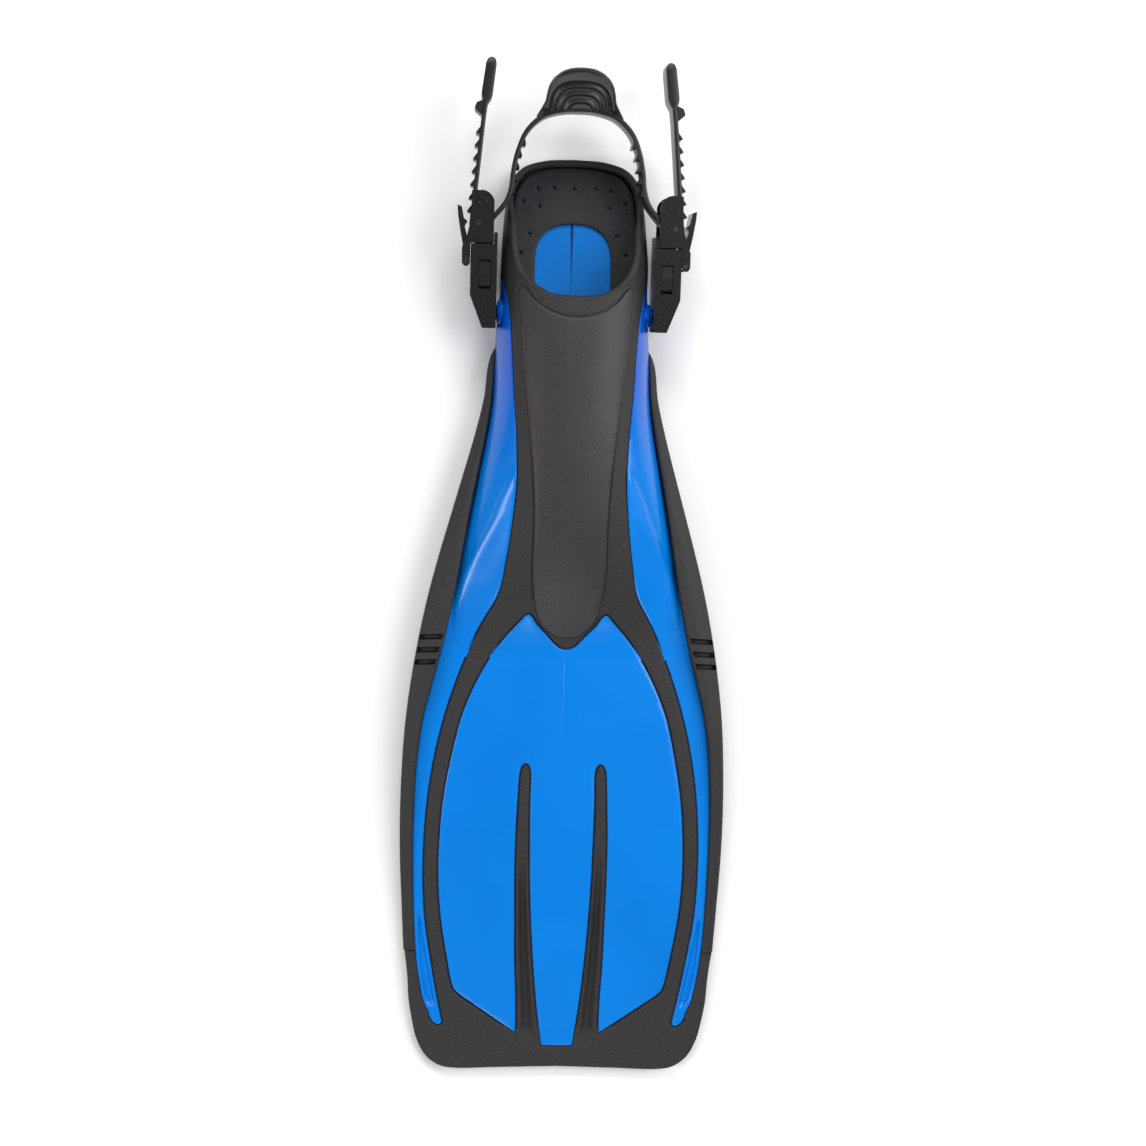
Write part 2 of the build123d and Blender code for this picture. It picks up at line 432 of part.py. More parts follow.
with BuildPart() as heel_strap:
    for s in (1, -1):
        def m(p):
            return (p[0] * s, p[1])

        def quad(a, b, half):
            nx, ny = -(b[1] - a[1]), b[0] - a[0]
            n = hypot(nx, ny)
            nx, ny = nx / n * half, ny / n * half
            return [m((a[0] + nx, a[1] + ny)), m((b[0] + nx, b[1] + ny)), m((b[0] - nx, b[1] - ny)),
                    m((a[0] - nx, a[1] - ny)), m((a[0] + nx, a[1] + ny))]
        h = STRAP_T / 2
        # loop half, from the roller to the middle of the heel
        with BuildLine(mode=Mode.PRIVATE) as centre:
            Spline(m(t_in), m((t_in[0] + ux * 9, t_in[1] + uy * 9)), m(p_in), m((-42.6, 246.0)),
                   m((-41.2, 258.0)), m((-38.6, 270.0)), m((-33.2, 282.3)), m((-23.2, 291.6)),
                   m((-11.0, 295.4)), (0, 296.1), tangents=[m((ux, uy)), m((1, 0))])
        line = centre.line
        left, right = [], []
        N = 44
        for i in range(N + 1):
            q, t = line @ (i / N), line % (i / N)
            left.append((q.X - t.Y * h, q.Y + t.X * h))
            right.append((q.X + t.Y * h, q.Y - t.X * h))
        with BuildSketch(Plane.XY.offset(W0)):
            with BuildLine():
                Spline(*left)
                Polyline(left[-1], right[-1])
                Spline(*reversed(right))
                Polyline(right[0], left[0])
            make_face()
        extrude(amount=STRAP_W)
        # wrap round the roller
        a0, a1 = degrees(t_ang), degrees(atan2(tail0[1] - ROLL_Y, tail0[0] - ROLL_X)) - 360
        if a1 < -360:
            a1 += 360
        def on(r, a):
            return m((ROLL_X + r * cos(radians(a)), ROLL_Y + r * sin(radians(a))))
        am = (a0 + a1) / 2
        with BuildSketch(Plane.XY.offset(W0)):
            with BuildLine():
                ThreePointArc(on(R_C + h, a0), on(R_C + h, am), on(R_C + h, a1))
                Polyline(on(R_C + h, a1), on(R_C - h, a1))
                ThreePointArc(on(R_C - h, a1), on(R_C - h, am), on(R_C - h, a0))
                Polyline(on(R_C - h, a0), on(R_C + h, a0))
            make_face()
        extrude(amount=STRAP_W)
        # tail, stop wedge, teeth and end paddle
        n_out = (-tdy, tdx)
        shapes = [quad(tail0, tail1, h)]
        k_end = (-56.4, TAIL_TIP)
        d2 = hypot(k_end[0] - tail1[0], k_end[1] - tail1[1])
        ex, ey = (k_end[0] - tail1[0]) / d2, (k_end[1] - tail1[1]) / d2
        def along(d, off):
            return m((tail1[0] + ex * d - ey * off, tail1[1] + ey * d + ex * off))
        shapes.append([along(-1.0, h), along(9.5, h), along(14.0, 3.6), along(34.0, 3.4), along(d2, 1.6),
                       along(d2, -1.6), along(34.0, -3.4), along(14.0, -3.6), along(9.5, -h),
                       along(-1.0, -h), along(-1.0, h)])
        shapes.append([along(1.0, h - 0.3), along(4.6, h + 5.0), along(9.0, h + 4.4), along(11.4, h - 0.3),
                       along(1.0, h - 0.3)])
        for j in range(7):
            d = 6.2 + 8.2 * j
            b = (tail0[0] + tdx * d, tail0[1] + tdy * d)
            def tt(dd, off):
                return m((b[0] + tdx * dd + n_out[0] * off, b[1] + tdy * dd + n_out[1] * off))
            shapes.append([tt(0, h - 0.3), tt(0.4, h + 2.2), tt(1.6, h + 2.2), tt(5.4, h - 0.3), tt(0, h - 0.3)])
        for j in range(5):
            f = 0.262 + 0.073 * j
            q, t = line @ f, line % f
            def ti(dd, off):
                return (q.X + t.X * dd + t.Y * off * s, q.Y + t.Y * dd - t.X * off * s)
            shapes.append([ti(0, h - 0.4), ti(0.4, h + 2.0), ti(1.5, h + 2.0), ti(5.2, h - 0.4), ti(0, h - 0.4)])
        for pts in shapes:
            with BuildSketch(Plane.XY.offset(W0)):
                with BuildLine():
                    Polyline(*pts)
                make_face()
            extrude(amount=STRAP_W)
    # pull tab
    lean = 27.0
    tab_plane = Plane(origin=(0, 295.1, W1 - 1.4), x_dir=(1, 0, 0),
                      z_dir=(0, -sin(radians(lean)), cos(radians(lean))))
    with BuildSketch(tab_plane):
        with BuildLine():
            Spline((27.5, -4.4), (24.8, 1.6), (22.5, 6.6), (21.6, 12.0), (20.2, 17.4), (17.6, 21.8), (13.0, 25.8),
                   (7.0, 28.3), (0, 29.0), (-7.0, 28.3), (-13.0, 25.8), (-17.6, 21.8), (-20.2, 17.4),
                   (-21.6, 12.0), (-22.5, 6.6), (-24.8, 1.6), (-27.5, -4.4))
            Spline((-27.5, -4.4), (-20.0, -1.4), (-10.5, 0.3), (0, 0.8), (10.5, 0.3), (20.0, -1.4), (27.5, -4.4))
        make_face()
    extrude(amount=3.0)
    for rx, ry in ((18.6, 20.6), (15.4, 16.4), (11.8, 11.8), (8.2, 7.2)):
        with BuildSketch(tab_plane.offset(2.6)):
            with BuildLine():
                Spline((rx, 2.2), (rx * 0.97, ry * 0.52), (rx * 0.80, ry * 0.86), (rx * 0.4, ry * 0.985), (0, ry),
                       (-rx * 0.4, ry * 0.985), (-rx * 0.80, ry * 0.86), (-rx * 0.97, ry * 0.52), (-rx, 2.2))
                Polyline((-rx, 2.2), (-rx + 1.6, 2.2))
                w, v = rx - 1.6, ry - 1.7
                Spline((-w, 2.2), (-w * 0.97, v * 0.52), (-w * 0.80, v * 0.86), (-w * 0.4, v * 0.985), (0, v),
                       (w * 0.4, v * 0.985), (w * 0.80, v * 0.86), (w * 0.97, v * 0.52), (w, 2.2))
                Polyline((w, 2.2), (rx, 2.2))
            make_face()
        extrude(amount=1.2)


# ---------------------------------------------------------------- tilt, mirror, export
AXIS = Axis((0, POST_Y, POST_Z), (1, 0, 0))


def tilted(p):
    return p.rotate(AXIS, TILT)


both = {
    "receiver": receiver.part, "strap_frame": strap_frame.part,
    "latch_arm_upper": latch_upper.part, "latch_arm_lower": latch_lower_part,
    "strap_roller": strap_roller.part, "roller_pin": roller_pin.part,
    "pawl_lever": pawl_lever.part, "lever_pin": lever_pin.part, "lever_spring": lever_spring.part,
}
for name, shape in both.items():
    one = tilted(shape)
    one.label = name + "_left"
    export_step(one, "parts/" + name + "_left.step")
    two = mirror(one, about=Plane.YZ)
    two.label = name + "_right"
    export_step(two, "parts/" + name + "_right.step")
heel = tilted(heel_strap.part)
heel.label = "heel_strap"
export_step(heel, "parts/heel_strap.step")
for part in (blade_frame, foot_pocket, footbed, instep_panel, blade_trim, rail_left, rail_right):
    export_step(part.part, "parts/" + part.part.label + ".step")
    b = part.part.bounding_box()
    print(part.part.label, len(part.part.solids()), round(part.part.volume / 1000, 2),
          [round(v, 2) for v in (b.min.X, b.min.Y, b.min.Z, b.max.X, b.max.Y, b.max.Z)])
for name, shape in list(both.items()) + [("heel_strap", heel)]:
    b = shape.bounding_box()
    print(name, len(shape.solids()), round(shape.volume / 1000, 3),
          [round(v, 2) for v in (b.min.X, b.min.Y, b.min.Z, b.max.X, b.max.Y, b.max.Z)])
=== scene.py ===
import json
import math
import bpy
import numpy as np
from mathutils import Matrix, Vector
from mathutils.geometry import delaunay_2d_cdt


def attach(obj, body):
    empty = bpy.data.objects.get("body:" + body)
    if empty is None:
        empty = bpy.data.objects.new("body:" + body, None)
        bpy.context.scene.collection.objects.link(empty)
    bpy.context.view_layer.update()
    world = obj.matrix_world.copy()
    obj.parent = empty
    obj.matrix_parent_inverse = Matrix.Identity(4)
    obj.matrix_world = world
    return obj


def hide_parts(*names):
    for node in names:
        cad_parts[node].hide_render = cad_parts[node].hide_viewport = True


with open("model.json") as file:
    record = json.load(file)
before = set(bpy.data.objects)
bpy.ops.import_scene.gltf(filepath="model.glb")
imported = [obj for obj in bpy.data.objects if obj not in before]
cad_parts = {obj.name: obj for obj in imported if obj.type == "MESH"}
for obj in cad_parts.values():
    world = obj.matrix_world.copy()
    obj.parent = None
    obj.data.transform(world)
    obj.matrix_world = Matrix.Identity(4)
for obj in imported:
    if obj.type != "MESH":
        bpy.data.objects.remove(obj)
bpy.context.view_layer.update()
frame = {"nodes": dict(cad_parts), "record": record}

MM = 0.001
pi = math.pi


# ------------------------------------------------------------------ tables
class Fn:
    """A smooth curve through (y, value) points."""

    def __init__(s, pts):
        p = sorted(pts)
        s.y = np.array([a for a, _ in p], float)
        s.v = np.array([b for _, b in p], float)
        h = np.diff(s.y)
        d = np.diff(s.v) / h
        m = np.empty(len(p))
        m[0], m[-1] = d[0], d[-1]
        m[1:-1] = (d[:-1] * h[1:] + d[1:] * h[:-1]) / (h[:-1] + h[1:])
        s.m = m

    def __call__(s, y):
        y = np.clip(np.asarray(y, float), s.y[0], s.y[-1])
        i = np.clip(np.searchsorted(s.y, y) - 1, 0, len(s.y) - 2)
        h = s.y[i + 1] - s.y[i]
        t = (y - s.y[i]) / h
        a, b, ma, mb = s.v[i], s.v[i + 1], s.m[i] * h, s.m[i + 1] * h
        return (a * (2 * t**3 - 3 * t**2 + 1) + b * (3 * t**2 - 2 * t**3)
                + ma * (t**3 - 2 * t**2 + t) + mb * (t**3 - t**2))


def half(pts):
    return Fn([(y, x) for x, y in pts])


R_I = half([(47.9, 196), (47.7, 185), (49.4, 160), (50.0, 139), (51.3, 112.8), (55.1, 86.5),
            (60.1, 60.4), (64.9, 34.3), (69.2, 8.4), (73.6, -17.6), (78.9, -43.7), (85.5, -69.8),
            (91.5, -94), (95.2, -122), (96.8, -155), (96.8, -188.3), (96.0, -214.9), (94.4, -243),
            (91.3, -268.1), (87.0, -285.5), (79.5, -298)])
R_O = half([(50.2, 147), (53.3, 139.1), (56.8, 112.7), (62.8, 86.5), (70.0, 60.3), (77.2, 34.3),
            (84.3, 8.4), (90.7, -17.6), (95.9, -43.7), (100.1, -69.8), (103.2, -96), (105.2, -130),
            (105.8, -161.8), (105.3, -188.2), (103.9, -214.7), (102.0, -249)])
COVER = half([(54.0, 208), (49.0, 197), (45.3, 185), (42.5, 172.8), (40.2, 153.6), (38.9, 134.6),
              (37.3, 109.4), (35.4, 84.2), (34.8, 59), (36.7, 33.8), (40.1, 8.3), (45.9, -17.5),
              (53.5, -30.7), (60.0, -43.7), (65.3, -56.8), (74.5, -83), (81.5, -109.3),
              (86.2, -135.6), (89.0, -164), (89.8, -195), (87.9, -228.3), (83.7, -255),
              (78.6, -281.7), (75.0, -298)])
HEEL = [(48.75, 170), (47.75, 185), (47.4, 200), (46.6, 220), (45.2, 238), (42.2, 254),
        (34.4, 264.5), (20.0, 269.6), (0, 271)]
PLATE_LO = Fn([(290, 4), (240, 4), (210, 4), (180, 4.1), (140, 6.2), (100, 10), (60, 13.6), (20, 16.2), (-20, 17.3),
               (-60, 16.9), (-110, 15.2), (-160, 12.8), (-205, 9.4), (-250, 5.8), (-330, 0.8)])
SOLE = Fn([(290, 0), (240, 0), (210, 0), (180, 0.1), (140, 2.2), (100, 6), (60, 9.6), (20, 12.4), (-20, 14.9),
           (-60, 16), (-110, 14.6), (-160, 12), (-205, 8.8), (-250, 5), (-330, 0)])
RIM = Fn([(170.6, 68), (172.4, 65.0), (177.0, 61.8), (181.8, 58.9), (189.3, 55.0), (199.0, 50.6), (210, 45.2),
          (221, 38.0), (232, 29.0), (243, 21.0), (257, 14.8), (273, 12)])
DOME = [(285, 46.0, 6.2, 67, 2.0), (240, 46.3, 6.2, 66.6, 2.05), (221, 47.8, 6.2, 66.4, 2.35), (200, 48.9, 6.2, 66, 2.9),
        (181, 48.6, 6.2, 64.6, 2.9), (150, 50.3, 6.8, 64, 2.7), (110, 52.0, 10.4, 62, 2.4),
        (60, 60.9, 14.2, 57, 2.05), (20, 68.2, 17.0, 48.5, 1.9), (-5, 72.0, 17.5, 40, 1.85),
        (-25, 76.0, 17.8, 30.5, 1.9), (-40, 79.0, 17.8, 24.2, 2.1), (-52, 82.0, 17.7, 21.0, 2.6),
        (-66, 86.0, 16.8, 20.0, 2.8), (-110, 95.0, 14.6, 18.3, 3.0), (-200, 98.0, 9.2, 12.9, 3.0),
        (-300, 98.0, 2.0, 6.0, 3.0)]
CAVITY = [(285, 39.0, 6.2, 62, 2.6), (240, 41.0, 6.2, 62, 2.6), (221, 41.8, 6.2, 62, 2.8), (205, 42.5, 6.2, 62, 2.9),
          (181, 43.2, 6.2, 60.6, 2.9), (150, 45.0, 6.8, 60, 2.7), (110, 46.5, 10.4, 58, 2.5),
          (60, 47.5, 14.0, 53, 2.3), (20, 44.0, 16.6, 44, 2.2), (-12, 34.0, 17.0, 33, 2.1)]


def arch(rows):
    return [Fn([(r[0], r[k]) for r in rows]) for k in (1, 2, 3, 4)]


D_A, D_0, D_C, D_N = arch(DOME)
C_A, C_0, C_C, C_N = arch(CAVITY)
plate_top = lambda y: PLATE_LO(y) + 3.0


def dome_z(x, y):
    """Height of the outside of the foot pocket over (x, y)."""
    a, z0, zc, n = D_A(y), D_0(y), D_C(y), D_N(y)
    q = np.clip(np.abs(x) / a, 0, 1)
    return z0 + (zc - z0) * np.clip(1 - q**n, 0, 1) ** (1 / n)


def dome_xz(t, y):
    a, z0, zc, n = D_A(y), D_0(y), D_C(y), D_N(y)
    c, s = np.cos(t), np.sin(t)
    return np.sign(c) * a * np.abs(c) ** (2 / n), z0 + (zc - z0) * np.abs(s) ** (2 / n)


def dome_t(x, y):
    return np.arccos(np.clip((np.abs(x) / D_A(y)) ** (D_N(y) / 2), 0, 1))


def dome_t_z(z, y):
    q = np.clip((z - D_0(y)) / (D_C(y) - D_0(y)), 0, 1)
    return np.arcsin(np.clip(q ** (D_N(y) / 2), 0, 1))


def side_x(z, y, inner=False):
    A, Z0, C, N = (C_A, C_0, C_C, C_N) if inner else (D_A, D_0, D_C, D_N)
    q = np.clip((z - Z0(y)) / (C(y) - Z0(y)), 0, 1)
    return A(y) * np.clip(1 - q ** N(y), 0, 1) ** (1 / N(y))


# ------------------------------------------------------------------ curves
def smooth(pts, step=1.5, closed=False):
    """Points every step or so along a smooth curve through pts."""
    p = np.array(pts, float)
    out = []
    n = len(p)
    for i in range(n if closed else n - 1):
        p1, p2 = p[i], p[(i + 1) % n]
        p0 = p[i - 1] if (i or closed) else 2 * p1 - p2
        p3 = p[(i + 2) % n] if (closed or i + 2 < n) else 2 * p2 - p1
        d0, d1, d2 = (max(np.linalg.norm(b - a), 1e-6) ** 0.5 for a, b in ((p0, p1), (p1, p2), (p2, p3)))
        m1 = (p1 - p0) / d0 - (p2 - p0) / (d0 + d1) + (p2 - p1) / d1
        m2 = (p2 - p1) / d1 - (p3 - p1) / (d1 + d2) + (p3 - p2) / d2
        m1, m2 = m1 * d1, m2 * d1
        k = max(2, int(np.linalg.norm(p2 - p1) / step))
        for t in np.arange(k) / k:
            out.append((2 * t**3 - 3 * t**2 + 1) * p1 + (t**3 - 2 * t**2 + t) * m1
                       + (3 * t**2 - 2 * t**3) * p2 + (t**3 - t**2) * m2)
    if not closed:
        out.append(p[-1])
    return np.array(out)


def straight(a, b, step=1.5):
    a, b = np.array(a, float), np.array(b, float)
    k = max(1, int(np.linalg.norm(b - a) / step))
    return a + (b - a) * (np.arange(k + 1) / k)[:, None]


def along(fn, y0, y1, step=1.5):
    k = max(2, int(abs(y1 - y0) / step))
    y = np.linspace(y0, y1, k + 1)
    return np.column_stack([fn(y), y])


def mirrored(pts):
    """A closed outline from its right half, which starts and ends on the centre line or meets its own mirror."""
    p = np.array(pts)
    q = p[::-1] * [-1, 1]
    return tidy(np.vstack([p, q]))


def tidy(p, eps=0.05):
    keep = [p[0]]
    for a in p[1:]:
        if np.linalg.norm(a - keep[-1]) > eps:
            keep.append(a)
    if np.linalg.norm(keep[-1] - keep[0]) <= eps:
        keep.pop()
    return np.array(keep)


def area(p):
    return 0.5 * np.sum(p[:, 0] * np.roll(p[:, 1], -1) - np.roll(p[:, 0], -1) * p[:, 1])


def ccw(p):
    return p if area(p) > 0 else p[::-1]


def relax(p, times=2, keep=None):
    """Rounds corners of a closed outline a little."""
    for _ in range(times):
        q = 0.25 * np.roll(p, 1, 0) + 0.5 * p + 0.25 * np.roll(p, -1, 0)
        p = q
    return p


def inside(pts, loops):
    pts = np.asarray(pts)
    odd = np.zeros(len(pts), bool)
    for p in loops:
        x1, y1 = p[:, 0], p[:, 1]
        x2, y2 = np.roll(x1, -1), np.roll(y1, -1)
        for s in range(0, len(pts), 4000):
            px, py = pts[s:s + 4000, 0][:, None], pts[s:s + 4000, 1][:, None]
            hit = ((y1 > py) != (y2 > py)) & (px < (x2 - x1) * (py - y1) / (y2 - y1 + 1e-12) + x1)
            odd[s:s + 4000] ^= (hit.sum(1) % 2).astype(bool)
    return odd


def gap_to(pts, loops):
    every = np.vstack(loops)
    out = np.empty(len(pts))
    for s in range(0, len(pts), 2000):
        d = pts[s:s + 2000, None, :] - every[None]
        out[s:s + 2000] = np.sqrt((d**2).sum(2).min(1))
    return out


# ------------------------------------------------------------------ meshes
def finish_mesh(name, verts, faces, mat, sharp=38.0, merge=0.0, recalc=False):
    me = bpy.data.meshes.new(name)
    me.from_pydata([tuple(v) for v in np.asarray(verts, float) * MM], [], [tuple(int(i) for i in f) for f in faces])
    import bmesh
    bm = bmesh.new()
    bm.from_mesh(me)
    if merge:
        bmesh.ops.remove_doubles(bm, verts=bm.verts, dist=merge * MM)
    if recalc:
        bmesh.ops.recalc_face_normals(bm, faces=bm.faces)
    bm.to_mesh(me)
    bm.free()
    me.validate()
    me.shade_smooth()
    me.set_sharp_from_angle(angle=math.radians(sharp))
    ob = bpy.data.objects.new(name, me)
    bpy.context.scene.collection.objects.link(ob)
    if mat:
        me.materials.append(mat)
    return ob


def grid_faces(rows, cols, base=0, wrap=False, flip_it=False):
    f = []
    for i in range(rows - 1):
        for j in range(cols if wrap else cols - 1):
            a, b = i * cols + j, i * cols + (j + 1) % cols
            q = [base + a, base + b, base + b + cols, base + a + cols]
            f.append(q[::-1] if flip_it else q)
    return f


def normals_of(p):
    t = np.roll(p, -1, 0) - np.roll(p, 1, 0)
    t /= np.linalg.norm(t, axis=1)[:, None] + 1e-12
    return np.column_stack([-t[:, 1], t[:, 0]])


def grown(loop, d, mask=None):
    """The outline moved outwards by d where mask is 1."""
    p = ccw(tidy(loop))
    w = 1.0 if mask is None else mask(p[:, 0], p[:, 1])[:, None]
    return p - normals_of(p) * d * w


SOFT = [(0.0, 1.0), (0.3, 0.29), (1.0, 0.0)]                  # rounded edge
SEAM = [(0.0, 2.3), (0.62, 2.2), (0.74, 0.85), (1.0, 0.32), (1.65, 0.0)]    # rubber edge beside plastic


def slab(loops, ztop, zbot, r=0.7, step=3.0, rb=None, seam=None, open_edge=None, extra=None):
    """A plate cut to outlines, with shaped upper edges. loops: the outline, then its holes."""
    loops = [ccw(tidy(p)) if i == 0 else ccw(tidy(p))[::-1] for i, p in enumerate(loops)]
    pts, drop, edges, rim = [], [], [], []
    ring_pts, ring_drop = [], []
    for p in loops:
        nrm = normals_of(p)
        w = np.ones(len(p)) if open_edge is None else np.where(open_edge(p[:, 0], p[:, 1]), 0.0, 1.0)
        sm = np.zeros(len(p)) if seam is None else seam(p[:, 0], p[:, 1]).astype(float)
        for k in range(5):
            s_in, s_z = (SOFT[min(k, 2)][0] * r, SOFT[min(k, 2)][1] * r)
            m_in, m_z = SEAM[k]
            d = s_in * (1 - sm) + m_in * sm
            z = (s_z * (1 - sm) + m_z * sm) * w
            if k == 0:
                base = len(pts)
                pts += p.tolist()
                drop += z.tolist()
                edges += [(base + i, base + (i + 1) % len(p)) for i in range(len(p))]
                rim.append(list(range(base, base + len(p))))
            else:
                use = np.ones(len(p), bool) if k < 3 else sm > 0.5
                ring_pts.append((p + nrm * d[:, None])[use])
                ring_drop.append(np.column_stack([z, d])[use])
    rp, rd = np.vstack(ring_pts), np.vstack(ring_drop)
    clear = gap_to(rp, loops) > rd[:, 1] * 0.8
    ok = clear & inside(rp, loops)
    rp, rd = rp[ok], rd[ok]
    pts += rp.tolist()
    drop += rd[:, 0].tolist()
    fixed = [np.vstack([loops[0], rp])] + loops[1:]
    if extra is not None:
        extra = extra[inside(extra, loops)]
        extra = extra[gap_to(extra, fixed) > 0.35]
        pts += extra.tolist()
        drop += [0.0] * len(extra)
        fixed.append(extra)
    lo, hi = loops[0].min(0), loops[0].max(0)
    gx, gy = np.meshgrid(np.arange(lo[0], hi[0], step), np.arange(lo[1], hi[1], step * 0.92))
    gx[1::2] += step / 2
    g = np.column_stack([gx.ravel(), gy.ravel()])
    g = g[inside(g, loops)]
    g = g[gap_to(g, loops) > (1.5 if seam is not None else r * 1.05)]
    g = g[gap_to(g, fixed) > step * 0.45]
    pts += g.tolist()
    drop += [0.0] * len(g)
    v, _, f, src, _, _ = delaunay_2d_cdt([Vector(p) for p in pts], edges, [], 0, 1e-5)
    v = np.array([(a.x, a.y) for a in v])
    mid = np.array([v[list(t)].mean(0) for t in f])
    f = [t for t, ok in zip(f, inside(mid, loops)) if ok]
    d = np.array([drop[s[0]] if len(s) else 0.0 for s in src])
    where = {}
    for i, s in enumerate(src):
        for k in s:
            where[k] = i
    top = np.column_stack([v, ztop(v[:, 0], v[:, 1]) - d])
    bot = np.column_stack([v, zbot(v[:, 0], v[:, 1]) + (0 if rb is None else np.minimum(d, 1.0) * rb)])
    top[:, 2] = np.maximum(top[:, 2], bot[:, 2] + 0.02)
    n = len(v)
    faces = []
    for t in f:
        a, b, c = t
        up = (v[b][0] - v[a][0]) * (v[c][1] - v[a][1]) - (v[b][1] - v[a][1]) * (v[c][0] - v[a][0]) > 0
        t = list(t) if up else list(t)[::-1]
        faces.append(t)
        faces.append([i + n for i in t[::-1]])
    for ring in rim:
        for i in range(len(ring)):
            a, b = where.get(ring[i]), where.get(ring[(i + 1) % len(ring)])
            if a is None or b is None or a == b:
                continue
            faces.append([a, a + n, b + n, b])
    return np.vstack([top, bot]), faces


def tube(path, radius, seg=12, squash=1.0):
    p = np.array(path, float)
    t = np.gradient(p, axis=0)
    t /= np.linalg.norm(t, axis=1)[:, None] + 1e-12
    up = np.array([0, 0, 1.0])
    verts = []
    radius = np.broadcast_to(np.asarray(radius, float), (len(p),))
    for c, d, r in zip(p, t, radius):
        s = np.cross(d, up)
        s /= np.linalg.norm(s) + 1e-12
        u = np.cross(s, d)
        for k in range(seg):
            a = 2 * pi * k / seg
            verts.append(c + s * (r * math.cos(a)) + u * (r * squash * math.sin(a)))
    f = grid_faces(len(p), seg, wrap=True)
    f.append(list(range(seg))[::-1])
    f.append([len(verts) - seg + k for k in range(seg)])
    return verts, f


def join(*parts):
    verts, faces = [], []
    for v, f in parts:
        b = len(verts)
        verts += [tuple(a) for a in v]
        faces += [[i + b for i in q] for q in f]
    return verts, faces


# ------------------------------------------------------------------ materials
def nodes_of(name):
    m = bpy.data.materials.new(name)
    m.use_nodes = True
    nt = m.node_tree
    nt.nodes.clear()
    out = nt.nodes.new("ShaderNodeOutputMaterial")
    bs = nt.nodes.new("ShaderNodeBsdfPrincipled")
    nt.links.new(bs.outputs[0], out.inputs[0])
    co = nt.nodes.new("ShaderNodeTexCoord")
    return m, nt, bs, co


def noise(nt, co, scale, detail=3.0, rough=0.5, stretch=None):
    n = nt.nodes.new("ShaderNodeTexNoise")
    n.inputs["Scale"].default_value = scale
    n.inputs["Detail"].default_value = detail
    n.inputs["Roughness"].default_value = rough
    src = co.outputs["Object"]
    if stretch:
        mp = nt.nodes.new("ShaderNodeMapping")
        mp.inputs["Scale"].default_value = stretch
        nt.links.new(src, mp.inputs[0])
        src = mp.outputs[0]
    nt.links.new(src, n.inputs["Vector"])
    return n


def ramp(nt, src, stops):
    r = nt.nodes.new("ShaderNodeValToRGB")
    el = r.color_ramp.elements
    el[0].position, el[0].color = stops[0][0], (*stops[0][1], 1)
    el[1].position, el[1].color = stops[-1][0], (*stops[-1][1], 1)
    for pos, col in stops[1:-1]:
        e = el.new(pos)
        e.color = (*col, 1)
    nt.links.new(src, r.inputs[0])
    return r


def bump(nt, src, strength, dist, bs, before=None):
    b = nt.nodes.new("ShaderNodeBump")
    b.inputs["Strength"].default_value = strength
    b.inputs["Distance"].default_value = dist
    nt.links.new(src, b.inputs["Height"])
    if before:
        nt.links.new(before.outputs[0], b.inputs["Normal"])
    nt.links.new(b.outputs[0], bs.inputs["Normal"])
    return b


def rubber(name, dark, light, grain=0.35, rough=0.62):
    m, nt, bs, co = nodes_of(name)
    n = noise(nt, co, 1500, 2)
    r = ramp(nt, n.outputs["Fac"], [(0.3, dark), (0.72, light)])
    nt.links.new(r.outputs[0], bs.inputs["Base Color"])
    big = noise(nt, co, 28, 3)
    mr = nt.nodes.new("ShaderNodeMapRange")
    mr.inputs["To Min"].default_value = rough - 0.05
    mr.inputs["To Max"].default_value = rough + 0.07
    nt.links.new(big.outputs["Fac"], mr.inputs[0])
    nt.links.new(mr.outputs[0], bs.inputs["Roughness"])
    bs.inputs["Specular IOR Level"].default_value = 0.42
    g = noise(nt, co, 1100, 3, 0.6)
    bump(nt, g.outputs["Fac"], grain, 0.0004, bs)
    return m


def gloss_blue(name, shade_strength=0.85):
    m, nt, bs, co = nodes_of(name)
    n = noise(nt, co, 14, 2)
    r = ramp(nt, n.outputs["Fac"], [(0.3, (0.0, 0.176, 0.64)), (0.7, (0.0, 0.202, 0.70))])
    # painted shade: from object Y 40 mm to 150 mm the blue is mixed towards a darker blue, standing in for the shade on
    # the steep sides of the foot pocket
    sp = nt.nodes.new("ShaderNodeSeparateXYZ")
    nt.links.new(co.outputs["Object"], sp.inputs[0])
    shade_mask = nt.nodes.new("ShaderNodeMapRange")
    shade_mask.interpolation_type = "SMOOTHSTEP"
    for k, v in (("From Min", 0.040), ("From Max", 0.150), ("To Min", 0.0), ("To Max", shade_strength)):
        shade_mask.inputs[k].default_value = v
    nt.links.new(sp.outputs["Y"], shade_mask.inputs[0])
    mx = nt.nodes.new("ShaderNodeMix")
    mx.data_type = "RGBA"
    nt.links.new(shade_mask.outputs[0], mx.inputs[0])
    nt.links.new(r.outputs[0], mx.inputs[6])
    # darker blue of the painted shade
    mx.inputs[7].default_value = (0.0, 0.070, 0.50, 1)
    nt.links.new(mx.outputs[2], bs.inputs["Base Color"])
    bs.inputs["Roughness"].default_value = 0.28
    bs.inputs["Specular IOR Level"].default_value = 0.3
    bs.inputs["Coat Weight"].default_value = 0.12
    bs.inputs["Coat Roughness"].default_value = 0.06
    w = noise(nt, co, 45, 2)
    bump(nt, w.outputs["Fac"], 0.08, 0.0006, bs)
    return m


def plastic(name, dark, light, rough=0.38):
    m, nt, bs, co = nodes_of(name)
    n = noise(nt, co, 900, 2)
    r = ramp(nt, n.outputs["Fac"], [(0.3, dark), (0.75, light)])
    nt.links.new(r.outputs[0], bs.inputs["Base Color"])
    bs.inputs["Roughness"].default_value = rough
    bs.inputs["Specular IOR Level"].default_value = 0.42
    g = noise(nt, co, 1600, 2)
    bump(nt, g.outputs["Fac"], 0.08, 0.0002, bs)
    return m


